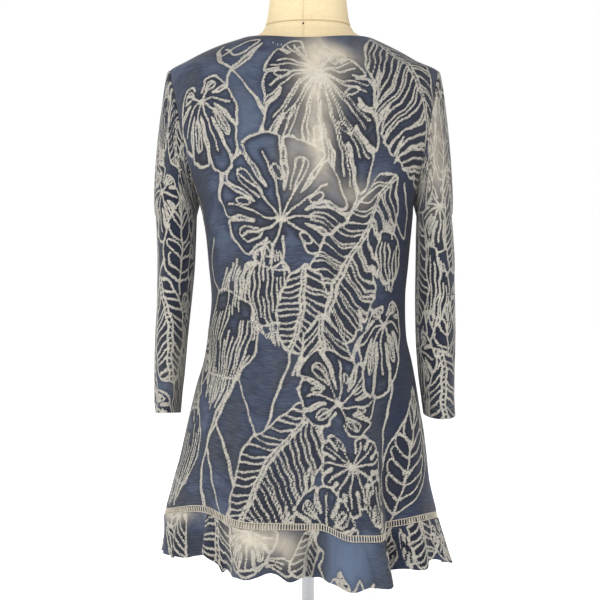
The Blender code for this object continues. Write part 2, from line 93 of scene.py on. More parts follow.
TUNIC_SECTIONS = rows_of(Section, [
    (0.180, 0.205, 0.158, 0.166, 0.013, 2.3), (0.225, 0.1985, 0.152, 0.160, 0.011, 2.3),
    (0.277, 0.186, 0.143, 0.151, 0.010, 2.3), (0.312, 0.179, 0.138, 0.145, 0.007, 2.3),
    (0.347, 0.173, 0.133, 0.140, 0.005, 2.3), (0.382, 0.166, 0.129, 0.135, 0.004, 2.3),
    (0.417, 0.159, 0.125, 0.129, 0.0025, 2.3), (0.452, 0.1505, 0.121, 0.122, 0.0005, 2.3),
    (0.487, 0.144, 0.118, 0.115, 0.0015, 2.3), (0.540, 0.1405, 0.117, 0.107, -0.0005, 2.3),
    (0.591, 0.1448, 0.127, 0.108, -0.0007, 2.3), (0.626, 0.148, 0.139, 0.111, -0.0007, 2.3),
    (0.661, 0.1525, 0.150, 0.115, 0.0005, 2.3), (0.677, 0.155, 0.153, 0.117, 0.002, 2.3),
    (0.700, 0.1635, 0.154, 0.119, 0.003, 2.3), (0.735, 0.179, 0.146, 0.122, 0.004, 2.25),
    (0.770, 0.190, 0.134, 0.122, 0.0045, 2.2), (0.820, 0.1975, 0.113, 0.117, 0.005, 2.08),
    (0.850, 0.1985, 0.101, 0.110, 0.006, 1.95), (0.868, 0.197, 0.094, 0.103, 0.006, 1.87),
    (0.8845, 0.168, 0.085, 0.093, 0.009, 1.85), (0.8965, 0.1455, 0.080, 0.086, 0.008, 1.92),
    (0.9055, 0.125, 0.0765, 0.081, 0.006, 2.0), (0.9135, 0.103, 0.073, 0.0755, 0.002, 2.05),
    (0.9215, 0.080, 0.069, 0.070, 0.000, 2.1),
])
SEAM_GAP = 0.0004
UNDERARM_HEIGHT = 0.677
SHOULDER_TIP_HEIGHT = 0.872
SHOULDER_SEAM_TOP = 0.9145
NECK_HALF_WIDTH = 0.100
NECK_BACK_REACH = 0.0805
NECK_FRONT_REACH = 0.112
PANEL_HEM_HEIGHT = 0.2350
FOLDS_FADE_OUT_HEIGHT = 0.50
EDGE_CROWDING = 0.65
INSERTION_HEIGHT = 0.009
RUFFLE_LENGTH = 0.063
RUFFLE_FLARE = 0.010
SOLID_CLOTH = 0.0015

SkirtFold = namedtuple("SkirtFold", "angle outwards lift")
SKIRT_FOLDS = rows_of(SkirtFold, [
    (0, 0.000, 0.004), (42, -0.022, 0.019), (72, 0.006, 0.006), (97, -0.010, 0.003), (110, 0.012, -0.010),
    (120, 0.009, -0.012), (130, -0.022, 0.000), (148, 0.002, 0.007), (180, 0.000, 0.000),
    (208, 0.007, -0.004), (232, -0.018, 0.008), (257, 0.010, -0.003), (281, -0.014, 0.004),
    (305, 0.008, -0.005), (330, -0.015, 0.009), (360, 0.000, 0.004),
])
RuffleWave = namedtuple("RuffleWave", "angle outwards drop")
RUFFLE_WAVES = rows_of(RuffleWave, [
    (0, -0.005, -0.006), (4, -0.005, -0.006), (14, -0.010, -0.004), (27, 0.003, -0.003),
    (40, -0.009, -0.002), (49, 0.004, -0.009), (58, -0.012, 0.002), (70, 0.009, -0.002),
    (80, 0.001, -0.004), (88, 0.008, -0.001), (98, -0.012, 0.001), (105, 0.010, 0.001),
    (114, 0.004, -0.006), (122, 0.010, -0.005), (130, -0.014, -0.004), (139, 0.009, -0.004),
    (149, -0.004, -0.007), (160, 0.009, -0.002), (170, -0.003, 0.000), (177, 0.006, -0.002),
    (183, 0.006, -0.002), (191, -0.006, 0.000), (203, 0.009, 0.002), (214, -0.003, -0.001),
    (224, 0.006, 0.001), (235, -0.013, 0.003), (247, 0.008, 0.001), (257, 0.000, -0.002),
    (267, 0.010, 0.002), (279, -0.012, 0.000), (290, 0.008, 0.002), (300, -0.002, -0.001),
    (311, 0.009, 0.001), (322, -0.005, 0.002), (332, 0.003, -0.003), (341, -0.010, 0.001),
    (351, 0.001, -0.004), (357, -0.005, -0.006), (360, -0.005, -0.006),
])
SleeveSection = namedtuple("SleeveSection", "height inner outer half_depth middle_y")
SLEEVE_SECTIONS = tables_of(SleeveSection, {
    "left": [
        (0.661, 0.1620, 0.2195, 0.075, 0.000), (0.626, 0.1632, 0.2185, 0.074, 0.000),
        (0.591, 0.1646, 0.2180, 0.072, 0.001), (0.539, 0.1692, 0.2185, 0.068, 0.002),
        (0.487, 0.1746, 0.2210, 0.064, 0.003), (0.434, 0.1792, 0.2225, 0.060, 0.003),
        (0.400, 0.1830, 0.2225, 0.057, 0.003), (0.3755, 0.1850, 0.2205, 0.055, 0.003),
    ],
    "right": [
        (0.661, 0.1585, 0.2075, 0.076, 0.000), (0.626, 0.1575, 0.2105, 0.075, 0.000),
        (0.591, 0.1570, 0.2125, 0.073, 0.000), (0.539, 0.1562, 0.2130, 0.069, 0.000),
        (0.487, 0.1570, 0.2140, 0.065, -0.001), (0.434, 0.1605, 0.2130, 0.061, -0.002),
        (0.398, 0.1650, 0.2125, 0.058, -0.002), (0.3740, 0.1680, 0.2140, 0.056, -0.002),
    ],
})
SLEEVE_CAP_BULGE = {"left": 0.0065, "right": 0.0060}
CUFF_TILT = {"left": 0.004, "right": -0.004}
SIDE_SIGN = {"left": 1, "right": -1}

# Cloth grids: about 2 mm between points, so a 3 mm printed line keeps its edges
PANEL_COLUMNS = 226
BODY_ROWS = 216
ARMHOLE_ROWS = 116
SHOULDER_ROWS = 48
SLEEVE_COLUMNS = 176
CAP_ROWS = 100
SLEEVE_ROW_SPACING = 0.002
RUFFLE_COLUMNS = 400
RUFFLE_ROWS = 42
RAIL_POINTS = 1201
FORM_COLUMNS = 220
FORM_ROW_SPACING = 0.004


def curve_through(rows, name):
    """A smooth curve without overshoot through one column of a table, for arrays of heights."""
    points = sorted((row.height, getattr(row, name)) for row in rows)
    xs = np.array([point[0] for point in points])
    ys = np.array([point[1] for point in points])
    slopes = np.diff(ys) / np.diff(xs)
    product = slopes[:-1] * slopes[1:]
    total = slopes[:-1] + slopes[1:]
    safe = np.where(product > 0, total, 1.0)
    inner = np.where(product > 0, 2 * product / safe, 0.0)
    tangents = np.concatenate([slopes[:1], inner, slopes[-1:]])

    def value(x):
        x = np.clip(x, xs[0], xs[-1])
        i = np.clip(np.searchsorted(xs, x, side="right") - 1, 0, len(xs) - 2)
        width = xs[i + 1] - xs[i]
        t = (x - xs[i]) / width
        rise = ys[i + 1] - ys[i]
        near = tangents[i] * width
        far = tangents[i + 1] * width
        return ys[i] + near * t + (3 * rise - 2 * near - far) * t**2 + (near + far - 2 * rise) * t**3

    return value


def wave_through(rows, name):
    """A soft wave whose crests and troughs are the table's rows, for arrays of angles in radians."""
    angles = np.array([row.angle for row in rows], dtype=float)
    values = np.array([getattr(row, name) for row in rows])

    def value(angle):
        degrees = np.degrees(angle) % 360
        i = np.clip(np.searchsorted(angles, degrees) - 1, 0, len(angles) - 2)
        t = (degrees - angles[i]) / (angles[i + 1] - angles[i])
        ease = (1 - np.cos(np.pi * t)) / 2
        return values[i] + (values[i + 1] - values[i]) * ease

    return value


class Outline:
    """Level sections of a torso shape, squarer than ellipses, that change with height."""

    def __init__(self, rows):
        self.half_width = curve_through(rows, "half_width")
        self.front_depth = curve_through(rows, "front_depth")
        self.back_depth = curve_through(rows, "back_depth")
        self.shift = curve_through(rows, "shift")
        self.power = curve_through(rows, "squareness")

    def depth(self, angle, height):
        return np.where(np.sin(angle) >= 0, self.back_depth(height), self.front_depth(height))

    def unit(self, angle, height):
        c, s = np.cos(angle), np.sin(angle)
        power = self.power(height)
        reach = (np.abs(c) ** power + np.abs(s) ** power) ** (-1 / power)
        return c * reach, s * reach

    def point(self, angle, height):
        angle, height = np.broadcast_arrays(angle, height)
        c, s = self.unit(angle, height)
        x = self.shift(height) + self.half_width(height) * c
        return np.stack([x, self.depth(angle, height) * s, height], axis=-1)

    def outwards(self, angle, height):
        c, s = self.unit(angle, height)
        bend = self.power(height) - 1
        along_x = np.sign(c) * np.abs(c) ** bend / self.half_width(height)
        along_y = np.sign(s) * np.abs(s) ** bend / self.depth(angle, height)
        size = np.hypot(along_x, along_y)
        return np.stack([along_x / size, along_y / size, np.zeros_like(size)], axis=-1)


FORM = Outline(FORM_SECTIONS)
TUNIC = Outline(TUNIC_SECTIONS)
FOLD_OUTWARDS = wave_through(SKIRT_FOLDS, "outwards")
FOLD_LIFT = wave_through(SKIRT_FOLDS, "lift")
WAVE_OUTWARDS = wave_through(RUFFLE_WAVES, "outwards")
WAVE_DROP = wave_through(RUFFLE_WAVES, "drop")


def tunic_point(angle, height):
    """The outer face of the tunic's body, with the skirt's folds fading out upwards."""
    angle, height = np.broadcast_arrays(angle, height)
    span = FOLDS_FADE_OUT_HEIGHT - PANEL_HEM_HEIGHT
    strength = np.maximum(0.0, (FOLDS_FADE_OUT_HEIGHT - height) / span) ** 1.5
    reach = FOLD_OUTWARDS(angle) * strength
    return TUNIC.point(angle, height) + TUNIC.outwards(angle, height) * reach[..., None]


def armhole_angle(height):
    """How far round from the side the armhole seam lies."""
    low, high = TUNIC.half_width(UNDERARM_HEIGHT), TUNIC.half_width(SHOULDER_TIP_HEIGHT)
    up = (height - UNDERARM_HEIGHT) / (SHOULDER_TIP_HEIGHT - UNDERARM_HEIGHT)
    share = np.clip((low + up * (high - low)) / TUNIC.half_width(height), 0, 1)
    power = TUNIC.power(height)
    across = np.maximum(0.0, 1 - share**power) ** (1 / power)
    inside = (height > UNDERARM_HEIGHT) & (height < SHOULDER_TIP_HEIGHT)
    return np.where(inside, np.arctan2(across, share), 0.0)


def armhole_height(turn):
    share = (1 + np.cos(turn)) / 2
    return UNDERARM_HEIGHT + (SHOULDER_TIP_HEIGHT - UNDERARM_HEIGHT) * share


def neckline_place(turn, side):
    """The angle and height of the neckline, from the left shoulder to the right one."""
    x = NECK_HALF_WIDTH * np.cos(turn)
    y = (NECK_BACK_REACH if side > 0 else NECK_FRONT_REACH) * np.sin(turn)
    depth = TUNIC.back_depth if side > 0 else TUNIC.front_depth
    low = np.full_like(turn, UNDERARM_HEIGHT)
    high = np.full_like(turn, TUNIC_SECTIONS[-1].height)
    for _ in range(40):
        height = (low + high) / 2
        power = TUNIC.power(height)
        size = np.abs(x / TUNIC.half_width(height)) ** power + np.abs(y / depth(height)) ** power
        low = np.where(size < 1, height, low)
        high = np.where(size < 1, high, height)
    return np.arctan2(y / depth(height), x / TUNIC.half_width(height)), height


def armhole_push(across, height):
    """How far the armhole's edge pushes a panel's points round towards the panel's middle."""
    bulge = armhole_angle(height)
    falloff = np.minimum(6.0, EDGE_CROWDING * np.pi / np.maximum(bulge, 1e-6))
    return bulge * ((1 - across) ** falloff - across**falloff)


def panel_rows():
    body = np.linspace(PANEL_HEM_HEIGHT, UNDERARM_HEIGHT, BODY_ROWS + 1)[:-1]
    arm = armhole_height(np.linspace(np.pi, 0, ARMHOLE_ROWS + 1))
    shoulder = np.linspace(SHOULDER_TIP_HEIGHT, SHOULDER_SEAM_TOP, SHOULDER_ROWS + 1)[1:]
    return np.concatenate([body, arm, shoulder])


def panel_points(side):
    """The back's (side 1) or the front's (side -1) outer face as a grid, from the hem up."""
    across = np.linspace(0, 1, PANEL_COLUMNS + 1)[None, :]
    rows = panel_rows()[:, None]
    neck_angle, neck_height = neckline_place(across * np.pi, side)
    up = np.clip((rows - UNDERARM_HEIGHT) / (SHOULDER_SEAM_TOP - UNDERARM_HEIGHT), 0, 1)
    angle = (1 - up) * across * np.pi + up * neck_angle + armhole_push(across, rows)
    height = np.where(up > 0, (1 - up) * UNDERARM_HEIGHT + up * neck_height, rows)
    share = np.clip((UNDERARM_HEIGHT - height) / (UNDERARM_HEIGHT - PANEL_HEM_HEIGHT), 0, 1)
    margin = SEAM_GAP / 2 / TUNIC.depth(side, height)
    angle = np.clip(angle, margin, np.pi - margin) * side
    return tunic_point(angle, height + FOLD_LIFT(angle) * share**3)


def below_hem(across, side, distance):
    """Points on the tunic's slope, a distance below the panels' lower edge."""
    angle = np.clip(across * np.pi, 0.001, np.pi - 0.001) * side
    return tunic_point(angle, PANEL_HEM_HEIGHT + FOLD_LIFT(angle) - distance), angle


# The cloth's waves are this much deeper than its solid's, and start nearer the seam
WAVE_DEPTH = 1.6


def ruffle_points(side):
    across = np.linspace(0, 1, RUFFLE_COLUMNS + 1)[None, :]
    down = np.linspace(0, 1, RUFFLE_ROWS + 1)[:, None]
    top, angle = below_hem(across, side, 2 * SEAM_GAP + INSERTION_HEIGHT)
    outwards = TUNIC.outwards(angle, top[..., 2])
    reach = RUFFLE_FLARE * down + WAVE_DEPTH * WAVE_OUTWARDS(angle) * down**0.8
    points = top + outwards * reach[..., None]
    points[..., 2] -= down * (RUFFLE_LENGTH + WAVE_DROP(angle))
    return points


def sleeve_points(name):
    """A sleeve's outer face as a closed grid, from the armhole down to the cuff."""
    turn = np.linspace(np.pi, 3 * np.pi, SLEEVE_COLUMNS + 1)[None, :-1]
    rows = SLEEVE_SECTIONS[name]
    sign = SIDE_SIGN[name]
    height = armhole_height(turn)
    around = armhole_angle(height)
    around = np.where(np.sin(turn) >= 0, 1, -1) * (around if sign > 0 else np.pi - around)
    start = TUNIC.point(around, height)
    start[..., 0] += sign * (SEAM_GAP + SOLID_CLOTH * (1 + np.cos(turn)) / 2)

    def section(height):
        inner, outer, half_depth, middle = (
            curve_through(rows, column)(height) for column in SleeveSection._fields[1:]
        )
        x = (inner + outer) / 2 + (outer - inner) / 2 * np.cos(turn)
        y = middle + half_depth * np.sin(turn)
        return np.stack([sign * x, y, np.broadcast_to(height, x.shape)], axis=-1)

    share = np.linspace(0, 1, CAP_ROWS + 1)[:, None]
    cap = start + (section(np.array([[rows[0].height]])) - start) * share[..., None]
    bulge = SLEEVE_CAP_BULGE[name] * 2 * np.sqrt(share * (1 - share)) * (1 + np.cos(turn)) / 2
    cap[..., 0] += sign * bulge
    steps = round((rows[0].height - rows[-1].height) / SLEEVE_ROW_SPACING)
    levels = np.linspace(rows[0].height, rows[-1].height, steps + 1)[1:, None]
    tube = section(levels)
    slope = rows[-2].height - rows[-1].height
    near_cuff = np.clip((rows[-2].height - levels) / slope, 0, 1)
    tube[..., 2] += CUFF_TILT[name] * np.sin(turn) * near_cuff
    return np.concatenate([cap, tube])


def grid_normals(points, closed=False):
    """Unit normals of a grid of points, from the differences along its rows and columns."""
    down = np.gradient(points, axis=0)
    if closed:
        along = (np.roll(points, -1, axis=1) - np.roll(points, 1, axis=1)) / 2
    else:
        along = np.gradient(points, axis=1)
    normals = np.cross(along, down)
    return normals / np.maximum(np.linalg.norm(normals, axis=-1, keepdims=True), 1e-12)


def outward_normals(points, middle, closed=False):
    normals = grid_normals(points, closed)
    away = points[..., :2] - np.array(middle)
    if (normals[..., :2] * away).sum() < 0:
        normals = -normals
    return normals


def arc_lengths(points, axis):
    """Running length along a grid's rows or columns."""
    steps = np.linalg.norm(np.diff(points, axis=axis), axis=-1)
    start = np.zeros_like(np.take(steps, [0], axis=axis))
    return np.concatenate([start, np.cumsum(steps, axis=axis)], axis=axis)


def cut_coordinates(points, gathered=False):
    """The cloth's flat coordinates in mm: across from its middle column, and down to its level hem."""
    middle = points.shape[1] // 2
    along = arc_lengths(points, 1)
    if gathered:
        along = np.broadcast_to(along[-1:], along.shape)
    along = along - along[:, middle : middle + 1]
    down = arc_lengths(points, 0)
    down = down + (down[-1:, middle : middle + 1] - down[-1:])
    return along / MM, down / MM


# Printed leaves. Lengths are in mm on the flat cloth, headings in degrees: 0 points right, 90 points down.


def turned(points, centre, heading):
    angle = math.radians(heading)
    c, s = math.cos(angle), math.sin(angle)
    return [(centre[0] + x * c - y * s, centre[1] + x * s + y * c) for x, y in points]


def rounded(points, steps=6):
    """A smooth curve through a few points."""
    out = []
    for i in range(len(points) - 1):
        corners = points[max(i - 1, 0)], points[i], points[i + 1], points[min(i + 2, len(points) - 1)]
        for k in range(steps):
            out.append(tuple(between_points(k / steps, *axis) for axis in zip(*corners)))
    out.append(points[-1])
    return out


def between_points(t, p, q, r, s):
    """The value at share t of the way from q to r, on a curve that p and s bend."""
    bend = (2 * p - 5 * q + 4 * r - s) * t * t + (3 * q - p - 3 * r + s) * t**3
    return 0.5 * (2 * q + (r - p) * t + bend)


class Print:
    """The strokes of one piece of cloth, and the leaf areas that hide the strokes drawn before them."""

    def __init__(self, seed):
        self.strokes = []
        self.shades = []
        self.random = random.Random(seed)

    def stroke(self, points, half_width):
        self.strokes.append((points, half_width))

    def shade(self, outline, first):
        """A leaf's area. It covers the strokes drawn before its own first one."""
        self.shades.append((outline, first))

    def wobble(self, amount):
        return self.random.uniform(-amount, amount)


def polar(reach, angle):
    return reach * math.cos(angle), reach * math.sin(angle)


def oval(centre, long, short, angle, steps=14):
    c, s = math.cos(angle), math.sin(angle)
    out = []
    for k in range(steps + 1):
        t = 2 * math.pi * k / steps
        x, y = long * math.cos(t), short * math.sin(t)
        out.append((centre[0] + x * c - y * s, centre[1] + x * s + y * c))
    return out


# A broad leaf's reach at angles from its tip round to its stalk, as a share of the reach at the side
LEAF_REACH = [(0, 1.0), (40, 0.97), (80, 0.94), (115, 0.92), (145, 0.82), (166, 0.60), (180, 0.30)]
# A lobe's outer edge between two notches: share of the reach, and place across the lobe
LOBE = [
    (0.68, -0.84), (0.90, -0.92), (0.985, -0.84), (1.0, -0.45), (1.015, 0.05), (1.0, 0.5), (0.98, 0.86),
    (0.88, 0.92), (0.68, 0.84),
]
LOOP = [(0.42, -0.30), (0.62, -0.42), (0.80, -0.36), (0.86, 0.02), (0.80, 0.36), (0.60, 0.40), (0.42, 0.22)]


def split_leaf(sheet, hub, reach, heading, lobes=4, pull=0.6, notch=0.45):
    """A broad leaf with narrow notches between its lobes, a vein to each lobe, and rounded holes."""
    spread = math.radians(164) / (lobes + 0.5)
    first = len(sheet.strokes)
    turns, reaches = zip(*LEAF_REACH)

    def place(part, angle):
        side = np.interp(abs(math.degrees(angle)), turns, reaches)
        x, y = polar(reach * part * side, angle)
        droop = pull * reach * part * part * (1 + math.cos(angle)) / 2
        return x + droop, y * (1 - 0.10 * pull * part)

    outline = []
    for j in range(-lobes, lobes + 1):
        middle = j * spread
        half = spread * 0.5
        size = 1 + sheet.wobble(0.06)
        outline.append(place(notch + sheet.wobble(0.06), middle - half))
        outline += [place(part * size, middle + across * half) for part, across in LOBE]
        vein = [place(part, middle + sheet.wobble(0.05)) for part in (0.0, 0.3, 0.6, 0.86)]
        sheet.stroke(turned(rounded(vein), hub, heading), 1.1)
        if j % 2 and notch < 0.6:
            loop = [place(part, middle + across * half) for part, across in LOOP]
            sheet.stroke(turned(rounded(loop), hub, heading), 0.9)
        elif reach > 60 and not j % 2:
            eye = place(0.60, middle + half * 0.42)
            ring = oval(eye, reach * 0.11, reach * 0.05, middle)
            sheet.stroke(turned(ring, hub, heading), 0.9)
        if reach > 60 and notch > 0.6:
            ray = [place(part, middle - 0.55 * half) for part in (0.12, 0.5, 0.95)]
            sheet.stroke(turned(rounded(ray), hub, heading), 0.8)
    outline = turned(rounded(outline, 4), hub, heading)
    sheet.stroke(outline, 1.2)
    sheet.shade(outline, first)
    sheet.stroke(turned(oval((0, 0), reach * 0.045, reach * 0.045, 0), hub, heading), 2.0)


def ribbed_leaf(sheet, start, length, heading, bend, left, right, ribs, sweep=58, ladder=5.0):
    """A long leaf: a bent double midrib with rungs, and close ribs out to its two torn edges."""
    steps = 40
    first = len(sheet.strokes)
    x, y = start
    spine = []
    for k in range(steps + 1):
        angle = math.radians(heading + bend * (k / steps - 0.5))
        spine.append((x, y, angle))
        x += length / steps * math.cos(angle)
        y += length / steps * math.sin(angle)

    def beside(k, side, out, lean=90.0):
        px, py, angle = spine[k]
        turn = angle + side * math.radians(lean)
        rail = angle + side * math.pi / 2
        root = (px + ladder / 2 * math.cos(rail), py + ladder / 2 * math.sin(rail))
        return root[0] + out * math.cos(turn), root[1] + out * math.sin(turn)

    for side, reach in ((-1, left), (1, right)):
        sheet.stroke([beside(k, side, 0.0) for k in range(0, steps + 1, 2)], 1.2)
        edge = [spine[0][:2]]
        for i in range(ribs):
            share = (i + 0.5 + sheet.wobble(0.15)) / ribs
            k = min(steps, int(share * steps))
            out = reach * math.sin(math.pi * min(1, share * 0.9 + 0.1)) ** 0.5
            out *= 1 + sheet.wobble(0.05)
            lean = sweep + sheet.wobble(3)
            rib = [beside(k, side, 0.0), beside(k, side, out * 0.5, lean - 5), beside(k, side, out, lean)]
            sheet.stroke(rounded(rib), 1.0)
            edge.append(rib[2])
            if i % 6 == 4 and reach > 50:
                edge.append(beside(k, side, out * 0.62, lean + 4))
        edge.append(spine[-1][:2])
        sheet.stroke(rounded(edge, 3), 1.15)
        sheet.shade(edge, first)
    for k in range(2, steps - 1, max(2, round(steps * 9 / length))):
        sheet.stroke([beside(k, -1, 0.0), beside(k, 1, 0.0)], 1.0)


def brushed_leaf(sheet, centre, length, width, heading, lines):
    """A leaf filled with close wavering strokes that run together in places."""
    first = len(sheet.strokes)
    strokes = []
    for i in range(lines):
        across = (i + 0.5) / lines * 2 - 1
        reach = length / 2 * math.sqrt(1 - across * across * 0.75) * (1 + sheet.wobble(0.10))
        stroke = []
        for k in range(8):
            t = k / 7 * 2 - 1
            pinch = 1 - 0.40 * t * t
            stroke.append((reach * t, width / 2 * across * pinch + sheet.wobble(width / lines * 0.22)))
        strokes.append(stroke)
        cut_at = min(sheet.random.uniform(0.1, 0.9), sheet.random.uniform(0.1, 0.9))
        line = rounded(stroke, 4)
        gap = len(line) // 14
        middle = int(cut_at * len(line))
        for part in (line[: middle - gap], line[middle + gap :]):
            if len(part) > 2:
                sheet.stroke(turned(part, centre, heading), 0.95)
    hull = strokes[0] + strokes[-1][::-1] + strokes[0][:1]
    hull = rounded(turned(hull, centre, heading), 3)
    sheet.stroke(hull, 1.1)
    sheet.shade(hull, first)


# Half a pointed leaf's outline, and the loop round a side vein: share of the length, share of the width
VEINED_PROFILE = [(0, 0), (0.10, 0.55), (0.30, 1.0), (0.55, 0.82), (0.80, 0.38), (1.0, 0.0)]
VEIN_LOOP = [(0.0, 0.0), (0.08, 0.55), (0.17, 0.80), (0.22, 0.72), (0.17, 0.35), (0.06, 0.0)]


def veined_leaf(sheet, base, length, width, heading, veins=5):
    """A pointed leaf with one midrib, an outline and a loop round each side vein."""
    first = len(sheet.strokes)
    parts, widths = zip(*VEINED_PROFILE)
    for side in (-1, 1):
        edge = [(length * t, side * width / 2 * w) for t, w in VEINED_PROFILE]
        sheet.stroke(turned(rounded(edge), base, heading), 1.2)
        for i in range(veins):
            t = 0.10 + 0.66 * i / (veins - 1)
            room = width / 2 * float(np.interp(t + 0.14, parts, widths))
            loop = [(length * (t + a), side * room * w) for a, w in VEIN_LOOP[: 6 if i % 2 else 4]]
            sheet.stroke(turned(rounded(loop), base, heading), 1.0)
    stem = [(-length * 0.12, 0), (length * 0.5, sheet.wobble(1.5)), (length, 0)]
    sheet.stroke(turned(stem, base, heading), 1.2)
    shade = [(length * t, width / 2 * w) for t, w in VEINED_PROFILE]
    shade += [(length * t, -width / 2 * w) for t, w in reversed(VEINED_PROFILE)]
    sheet.shade(turned(shade, base, heading), first)


def drawn(sheet, leaves):
    """Draws a table's leaves and stems in their order, the later ones on top."""
    for kind, *sizes in leaves:
        kind(sheet, *sizes)
    return sheet


def vine(sheet, *points):
    sheet.stroke(rounded(list(points)), 1.3)


def twin_vine(sheet, *points):
    """Two stems that part and meet again."""
    vine(sheet, *points)
    side = [(x + (5.5 if i % 2 else -0.5), y + (2.0 if i % 2 else 0.0)) for i, (x, y) in enumerate(points)]
    vine(sheet, *side)


# The back's own layout of common leaf kinds. Places are mm across from the middle and down the cloth.
BACK_LEAVES = [
    (twin_vine, (-122, -6), (-122, 44), (-92, 70), (-66, 108), (-58, 140), (-84, 186)),
    (twin_vine, (-60, 6), (-90, 46), (-112, 84), (-118, 160), (-128, 250)),
    (vine, (-118, 140), (-100, 166), (-84, 190), (-94, 210)),
    (vine, (-128, 250), (-106, 280), (-98, 258), (-122, 236)),
    (vine, (-112, 12), (-96, 34), (-80, 22), (-66, -2), (-92, 6), (-116, 34)),
    (vine, (-24, 420), (-26, 470), (-44, 512), (-58, 560)), (vine, (-98, 500), (-82, 540), (-60, 590)),
    (twin_vine, (-104, 500), (-136, 556), (-160, 610), (-166, 690)),
    (twin_vine, (-134, 560), (-114, 610), (-98, 650), (-110, 684)),
    (vine, (-156, 604), (-134, 660), (-118, 690)), (vine, (6, 236), (44, 250), (78, 240), (100, 222)),
    (vine, (70, 430), (92, 396), (80, 362), (98, 330), (112, 292)),
    (vine, (128, 470), (126, 540), (128, 600), (150, 650)),
    (vine, (58, 470), (84, 448), (78, 410), (60, 450)),
    (vine, (-14, 500), (0, 540), (-14, 584), (4, 606), (20, 570), (28, 544)),
    (vine, (150, 214), (164, 256), (150, 292), (132, 262)),
    (vine, (-30, 60), (-44, 100), (-30, 150), (-6, 176)),
    (vine, (-66, 108), (-40, 130), (-14, 120), (6, 150)),
    (vine, (64, 250), (84, 290), (78, 330), (60, 350)),
    (vine, (-152, 300), (-160, 350), (-140, 392), (-150, 430)), (vine, (-10, 470), (24, 480), (44, 500)),
    (vine, (96, 560), (84, 600), (96, 640)), (twin_vine, (-36, 330), (-10, 372), (-4, 430), (-18, 480)),
    (ribbed_leaf, (258, 40), 250, 96, 14, 34, 40, 22, 58), (brushed_leaf, (232, 380), 130, 56, 88, 9),
    (split_leaf, (262, 520), 70, 80, 4, 0.5), (ribbed_leaf, (-214, 120), 240, 90, -14, 36, 34, 20, 58),
    (split_leaf, (-214, 440), 54, 74, 4, 0.6), (veined_leaf, (-258, 420), 120, 70, -92, 5),
    (split_leaf, (18, 62), 92, 88, 6, 0.95, 0.72), (split_leaf, (-34, 262), 98, -104, 4, 0.10, 0.42),
    (split_leaf, (-148, 108), 52, 74, 3, 0.9, 0.40),
    (ribbed_leaf, (102, -36), 262, 69, 50, 34, 98, 24, 60, 6),
    (ribbed_leaf, (132, 206), 262, 116, -42, 66, 40, 25, 60, 5),
    (brushed_leaf, (-52, 372), 130, 96, 84, 14), (ribbed_leaf, (-4, 330), 120, 100, 14, 34, 30, 13, 66),
    (brushed_leaf, (-122, 440), 210, 104, 102, 17), (ribbed_leaf, (14, 396), 118, 84, 18, 50, 42, 12, 52),
    (ribbed_leaf, (20, 530), 196, 122, -42, 90, 40, 18, 60, 5),
    (split_leaf, (46, 508), 62, -92, 3, 0.1, 0.40), (brushed_leaf, (120, 318), 104, 46, 84, 7),
    (split_leaf, (112, 410), 44, 92, 3, 1.1, 0.46), (brushed_leaf, (-222, 588), 176, 104, 104, 15),
    (veined_leaf, (172, 672), 166, 94, -87, 7), (split_leaf, (66, 588), 52, 80, 5, 0.35, 0.62),
    (brushed_leaf, (112, 640), 90, 34, 72, 6), (split_leaf, (34, 692), 50, -84, 3, 0.3, 0.42),
]


# The front isn't shown: the same kinds of leaf at the same scale, laid out their own way
FRONT_LEAVES = [
    (ribbed_leaf, (-262, -20), 250, 88, -16, 36, 40, 20, 58),
    (ribbed_leaf, (262, 30), 250, 94, 14, 40, 36, 20, 58), (split_leaf, (-196, -96), 58, 96, 3, 0.8, 0.42),
    (ribbed_leaf, (112, -196), 262, 100, -46, 84, 44, 23, 60, 6),
    (split_leaf, (-76, -20), 88, 84, 5, 0.7, 0.66), (brushed_leaf, (170, 100), 170, 84, 84, 13),
    (split_leaf, (58, 170), 92, 110, 4, 0.2, 0.42),
    (ribbed_leaf, (-150, 70), 240, 74, 40, 40, 74, 21, 60, 6), (brushed_leaf, (-224, 232), 190, 92, 96, 14),
    (veined_leaf, (-6, 372), 170, 92, -96, 6), (split_leaf, (222, 268), 58, 90, 4, 0.5, 0.45),
    (ribbed_leaf, (122, 250), 220, 84, -36, 66, 40, 18, 60, 6), (brushed_leaf, (-84, 330), 130, 70, 78, 11),
    (split_leaf, (-150, 420), 74, 88, 4, 0.5, 0.44),
    (ribbed_leaf, (6, 380), 200, 108, 40, 40, 80, 17, 60, 6), (brushed_leaf, (208, 430), 160, 80, 88, 12),
    (veined_leaf, (-226, 610), 150, 84, -88, 6), (split_leaf, (84, 520), 66, 74, 5, 0.5, 0.6),
    (brushed_leaf, (-60, 560), 120, 60, 70, 9), (veined_leaf, (178, 618), 120, 72, -94, 5),
]


def front_print():
    """Rows of twin stems, with the front's leaves over them."""
    sheet = Print(21)
    for x in (-232, -96, 34, 172):
        for y in (-190, 60, 310, 540):
            twin_vine(sheet, (x, y), (x + 22, y + 60), (x - 4, y + 130), (x + 26, y + 190), (x + 6, y + 250))
            vine(sheet, (x + 20, y + 70), (x + 56, y + 96), (x + 70, y + 150), (x + 112, y + 172))
    return drawn(sheet, FRONT_LEAVES)


